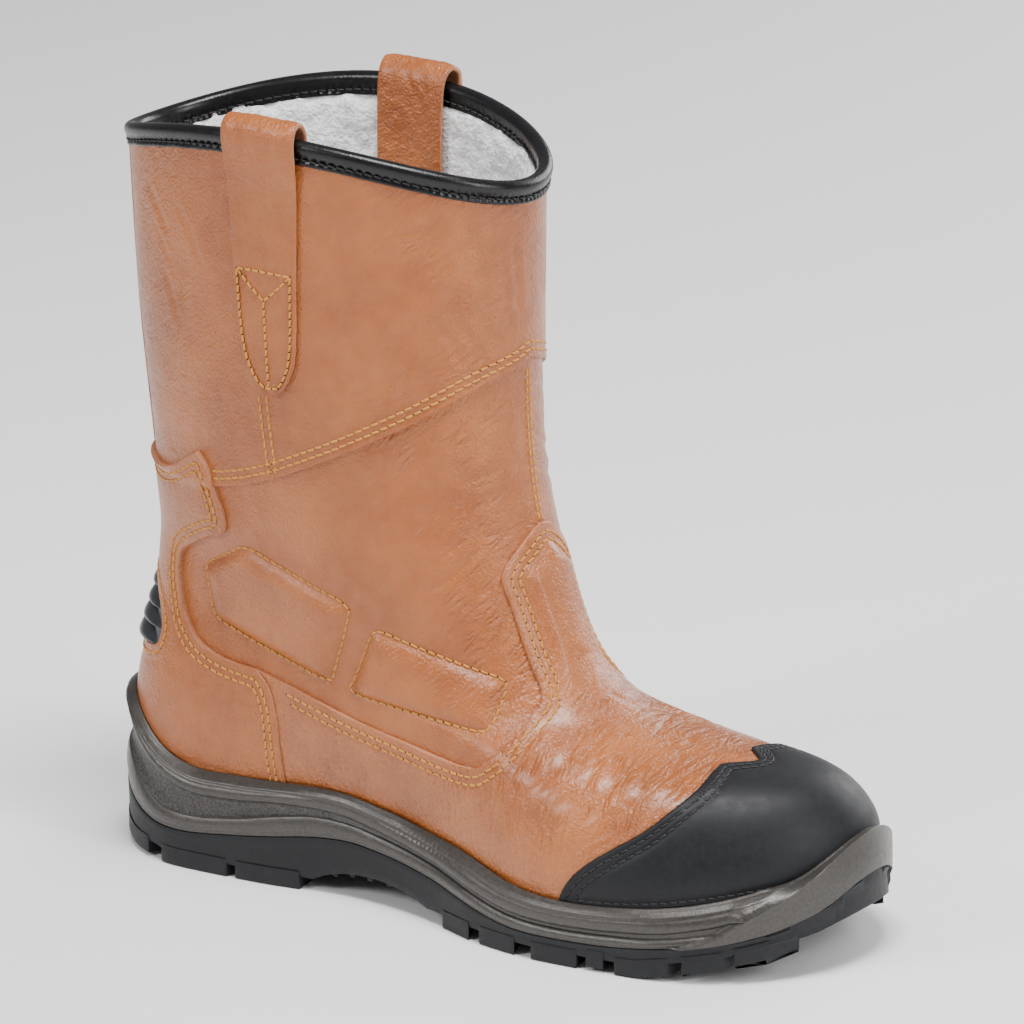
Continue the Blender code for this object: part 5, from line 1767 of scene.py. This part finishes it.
@dataclass
class Outsole:
    """Black rubber tread: welt under the midsole, edge lugs, middle lugs and a ribbed arch."""
    columns: int = 900
    slab: float = 4.6 * MM
    ridge_pitch: float = 3.4 * MM
    ridge_depth: float = .9 * MM
    outer_lugs: tuple = (Lug(17, 22, -3), Lug(50, 30, -2), Lug(82, 27, 2), Lug(169, 15, 5, 20),
                         Lug(190, 17, 5, 22), Lug(215, 19, 3, 22), Lug(231.5, 7, 2, 16, 1.2),
                         Lug(249, 20, -2, 22), Lug(270, 13, -4, 20), Lug(284.5, 9, -5, 14, .4))
    inner_lugs: tuple = (Lug(17, 22, -3), Lug(50, 30, -2), Lug(82, 27, 2), Lug(170, 16, 5, 20),
                         Lug(191, 17, 4, 22), Lug(214, 18, 2, 22), Lug(236, 17, -1, 22),
                         Lug(257, 14, -3, 22), Lug(273, 12, -5, 19), Lug(286, 9, -5, 14, .4))
    arch: tuple = (97, 158)                     # where the hollow starts and ends, in millimetres

    def build(self) -> None:
        """Builds the welt, the slab and all lugs as one object."""
        girth = even_girths(self.columns)
        x = SOLE_LENGTH * (1 - np.cos(girth)) / 2
        joint = side_line(x, "joint") - .1 * MM
        floor = underside(x) + self.slab
        floor = np.maximum(floor, self.arch_height(x))
        floor = np.minimum(floor, joint - 1.5 * MM)
        rings = []
        for share, grow in ((1, -1.6), (1, .55), (.93, .85), (.80, .7),
                            (.55, .55), (.3, .5), (.08, .3), (0, -.5)):
            z = floor + (joint - floor) * share
            steps = self.toe_ridges(x, z)
            rings.append(np.column_stack([sole_plan(girth, grow * MM + steps), z]))
        points = np.concatenate(rings)
        faces = [quads(len(rings), self.columns, flip=True)]
        first = len(points)
        vertices = [points]
        # the slab's underside, closed across the sole
        half = self.columns // 2
        last_ring = (len(rings) - 1) * self.columns
        rows = []
        low = rings[-1]
        for j in range(1, half):
            a, b = low[j], low[self.columns - j]
            u = np.linspace(0, 1, 9)[1:-1, None]
            rows.append(a + (b - a) * u)
        middle = np.array(rows)
        vertices.append(middle.reshape(-1, 3))
        left = last_ring + np.arange(1, half)[:, None]
        right = last_ring + self.columns - np.arange(1, half)[:, None]
        between = first + np.arange(middle.shape[0] * 7).reshape(-1, 7)
        strip = np.concatenate([left, between, right], 1)
        a, b, c, d = strip[:-1, :-1], strip[:-1, 1:], strip[1:, 1:], strip[1:, :-1]
        faces.append(np.stack([a, b, c, d], -1).reshape(-1, 4))
        first += middle.shape[0] * 7
        for lug_points, lug_faces in self.lugs():
            vertices.append(lug_points)
            faces.append(lug_faces + first)
            first += len(lug_points)
        obj = make_object("outsole_skin", np.concatenate(vertices) + ORIGIN, faces,
                          [FINISHES["tread_rubber"]], None, 40)
        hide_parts("outsole")
        report(obj)

    def arch_height(self, x: Array) -> Array:
        """Height of the hollow between heel and forefoot."""
        low, high = (v * MM for v in self.arch)
        share = np.clip((x - low) / (high - low), 0, 1)
        return 9.6 * MM * np.sin(math.pi * share ** .82) ** .55 * ((x > low) & (x < high))

    def toe_ridges(self, x: Array, z: Array) -> Array:
        """Layered ridges where the rubber wraps up the toe."""
        wrap = smooth((x - 268 * MM) / (20 * MM))
        height = z - underside(x)
        return wrap * self.ridge_depth * (height / self.ridge_pitch % 1 - .5)

    def lugs(self) -> Iterable[tuple[Array, Array]]:
        """Points and faces of each lug."""
        for side, lugs in ((-1, self.outer_lugs), (1, self.inner_lugs)):
            for lug in lugs:
                yield self.edge_lug(lug, side)
        for x, length, wide, y in ((180, 9, 10, 0), (201, 9, 11, 0), (224, 10, 12, 0),
                                   (246, 9, 11, 1), (266, 8, 10, 3), (168, 8, 9, 0)):
            centre = along(CENTRE, np.array([x * MM]))[0] / MM + y
            back, front = x - length / 2, x + length / 2
            for k in (-1, 1):
                near, far = centre + k * 1.5, centre + k * (1.5 + wide)
                yield self.block([(back, near), (front, near), (front - 4, far), (back - 4, far)])
        for x, length in ((40, 12), (62, 12), (84, 12)):
            centre = along(CENTRE, np.array([x * MM]))[0] / MM
            back, front = x - length / 2, x + length / 2
            yield self.block([(back, centre - 11), (front, centre - 14),
                              (front, centre + 14), (back, centre + 11)])
        # ribs that fan across the arch
        for k in range(6):
            x = 107 + 8.4 * k
            half = 30 - abs(k - 2.5)
            centre = along(CENTRE, np.array([x * MM]))[0] / MM
            z = float(self.arch_height(np.array([x * MM]))[0]) / MM
            back, front, outer, inner = x - 1.6, x + 1.2, centre - half - 7, centre + half + 6
            yield self.block([(back, outer), (front, outer), (front, inner), (back, inner)],
                             z - 2.2, z + 1.0)

    def edge_lug(self, lug: Lug, side: int) -> tuple[Array, Array]:
        """Lug whose outer face follows the sole's outline."""
        low, high = (lug.x - lug.length / 2) * MM, (lug.x + lug.length / 2) * MM
        xs = np.linspace(low, high, 9)
        xs_in = xs - lug.slant * MM * 1.6
        angle = np.arccos(np.clip(1 - 2 * xs / SOLE_LENGTH, -1, 1))
        if side < 0:
            angle = 2 * math.pi - angle
        outer = sole_plan(angle, .75 * MM)
        inward = sole_plan(angle, -lug.reach * MM)
        centre = along(CENTRE, xs)
        inner_y = np.where(side < 0, np.minimum(inward[:, 1], centre - 5 * MM),
                           np.maximum(inward[:, 1], centre + 5 * MM))
        inner = np.column_stack([np.clip(xs_in, low - 8 * MM, high + 8 * MM), inner_y])
        outline = np.concatenate([outer, inner[::-1]])
        return self.block(outline / MM, None, None, lug.drop, .9)

    def block(self, outline: Sequence, low: float | None = None, high: float | None = None,
              drop: float = 0, bevel: float = .7) -> tuple[Array, Array]:
        """Bevelled block between the ground and the slab.

        Args:
            outline: Corners in millimetres.
            low: Height of its ground face, or None for the tread's.
            high: Height of its root, or None for the slab's.
            drop: How far its ground face lies above the tread's, in millimetres.
            bevel: Rounding of its ground edges in millimetres.

        Returns:
            Points and quads.
        """
        corners = np.array(outline, float)
        ahead, behind = np.roll(corners, -1, 0), np.roll(corners, 1, 0)
        area = np.sum(corners[:, 0] * ahead[:, 1] - ahead[:, 0] * corners[:, 1])
        if area < 0:
            corners = corners[::-1]
        # corners cut, so that every upright edge is rounded
        points = []
        n = len(corners)
        for i in range(n):
            here, before, after = corners[i], corners[i - 1], corners[(i + 1) % n]
            a, b = before - here, after - here
            la, lb = np.linalg.norm(a), np.linalg.norm(b)
            cut = min(bevel * 1.3, la * .3, lb * .3)
            if (a @ b) / (la * lb) > -.9:
                points += [here + a / la * cut, here + (a / la + b / lb) * cut * .22,
                           here + b / lb * cut]
            else:
                points.append(here)
        corners = np.array(points)
        centre = corners.mean(0)
        x, ones = corners[:, 0] * MM, np.ones(len(corners))
        ground = underside(x) / MM + drop if low is None else low * ones
        root = ground + self.slab / MM + 2.5 if high is None else high * ones
        if low is None:
            root = np.minimum(root, side_line(x, "joint") / MM - .6)
        rows = []
        for inset, share in ((0, None), (0, 1.0), (.3, .3), (1.0, 0)):
            ahead, behind = np.roll(corners, -1, 0), np.roll(corners, 1, 0)
            run = ahead - behind
            run /= np.maximum(np.linalg.norm(run, axis=1, keepdims=True), 1e-9)
            inward = np.column_stack([-run[:, 1], run[:, 0]])
            plan = corners + inward * bevel * inset
            z = root if share is None else ground + bevel * share
            rows.append(np.column_stack([plan, z]))
        foot = [*centre, ground.min() if drop else ground.mean()]
        grid = np.concatenate(rows + [np.array([foot])]) * MM
        m = len(corners)
        faces = quads(4, m, flip=True)
        fan = np.array([(4 * m, 3 * m + (i + 1) % m, 3 * m + i, 3 * m + i) for i in range(m)])
        return grid, np.concatenate([faces, fan])


@dataclass
class Studio:
    """Pale flat floor, soft lights, and the camera."""
    azimuth: float = 32.5
    elevation: float = 17.2
    distance: float = 2.8
    lens: float = 270.7
    target: tuple = (155 * MM, 8 * MM, 142 * MM)    # from the sole's back

    def build(self) -> None:
        """Builds floor, world, lights and camera."""
        self.floor()
        self.world()
        self.lights()
        self.camera()

    def floor(self) -> None:
        """Plain pale floor."""
        mesh = bpy.data.meshes.new("floor")
        half = 6.0
        mesh.from_pydata([(x * half, y * half, 0) for x, y in ((-1, -1), (1, -1), (1, 1), (-1, 1))],
                         [], [(0, 1, 2, 3)])
        n = Nodes("floor_white")
        n.set(Base_Color=(.93, .93, .93), Roughness=.6, Specular_IOR_Level=.2)
        mesh.materials.append(n.material)
        floor = bpy.data.objects.new("floor", mesh)
        bpy.context.collection.objects.link(floor)

    def world(self) -> None:
        """Even pale surroundings."""
        world = bpy.data.worlds.new("studio")
        bpy.context.scene.world = world
        world.use_nodes = True
        shade = world.node_tree.nodes["Background"]
        shade.inputs["Color"].default_value = (1, 1, 1, 1)
        shade.inputs["Strength"].default_value = .28

    def lights(self) -> None:
        """Large soft boxes: the key at the upper left, others at the right, overhead and behind."""
        for name, place, size, power in (
                ("key", (-1.0, -1.7, 1.25), (.6, .7), 25),
                ("right", (1.7, -.35, .9), (.5, 1.2), 19),
                ("overhead", (.25, -.25, 1.7), (.7, .5), 38),
                ("back", (.5, 2.0, .9), (1.8, 1.2), 40)):
            light = bpy.data.lights.new(name, "AREA")
            light.shape, light.energy = "RECTANGLE", power
            light.size, light.size_y = size
            obj = bpy.data.objects.new(name, light)
            obj.location = place
            aim = Vector((0, 0, .12)) - Vector(place)
            obj.rotation_euler = aim.to_track_quat("-Z", "Y").to_euler()
            bpy.context.collection.objects.link(obj)

    def camera(self) -> None:
        """Camera at the photograph's angle."""
        data = bpy.data.cameras.new("camera")
        data.lens, data.sensor_width = self.lens, 36
        camera = bpy.data.objects.new("camera", data)
        azimuth, elevation = math.radians(self.azimuth), math.radians(self.elevation)
        level = math.cos(elevation)
        back = Vector((math.sin(azimuth) * level, -math.cos(azimuth) * level, math.sin(elevation)))
        camera.location = Vector(np.array(self.target) + ORIGIN) + back * self.distance
        camera.rotation_euler = back.to_track_quat("Z", "Y").to_euler()
        bpy.context.collection.objects.link(camera)
        bpy.context.scene.camera = camera


def insole() -> None:
    """Gives the insole the lining's finish."""
    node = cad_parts["insole"]
    for slot in node.material_slots:
        slot.material = FINISHES["fleece"]


def main() -> None:
    """Builds the boot piece by piece."""
    logging.basicConfig(level=logging.INFO, format="%(message)s")
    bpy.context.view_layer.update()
    finishes()
    Studio().build()
    insole()
    for side in Side:
        PullLoop(side).build()
    collar = Collar()
    collar.build()
    shaft = Shaft()
    shaft.build()
    shaft.sew()
    quarter = Quarter()
    quarter.build()
    quarter.sew()
    Overlays().build()
    HeelRibs().build()
    Midsole().build()
    Outsole().build()


if __name__ == "__main__":
    main()
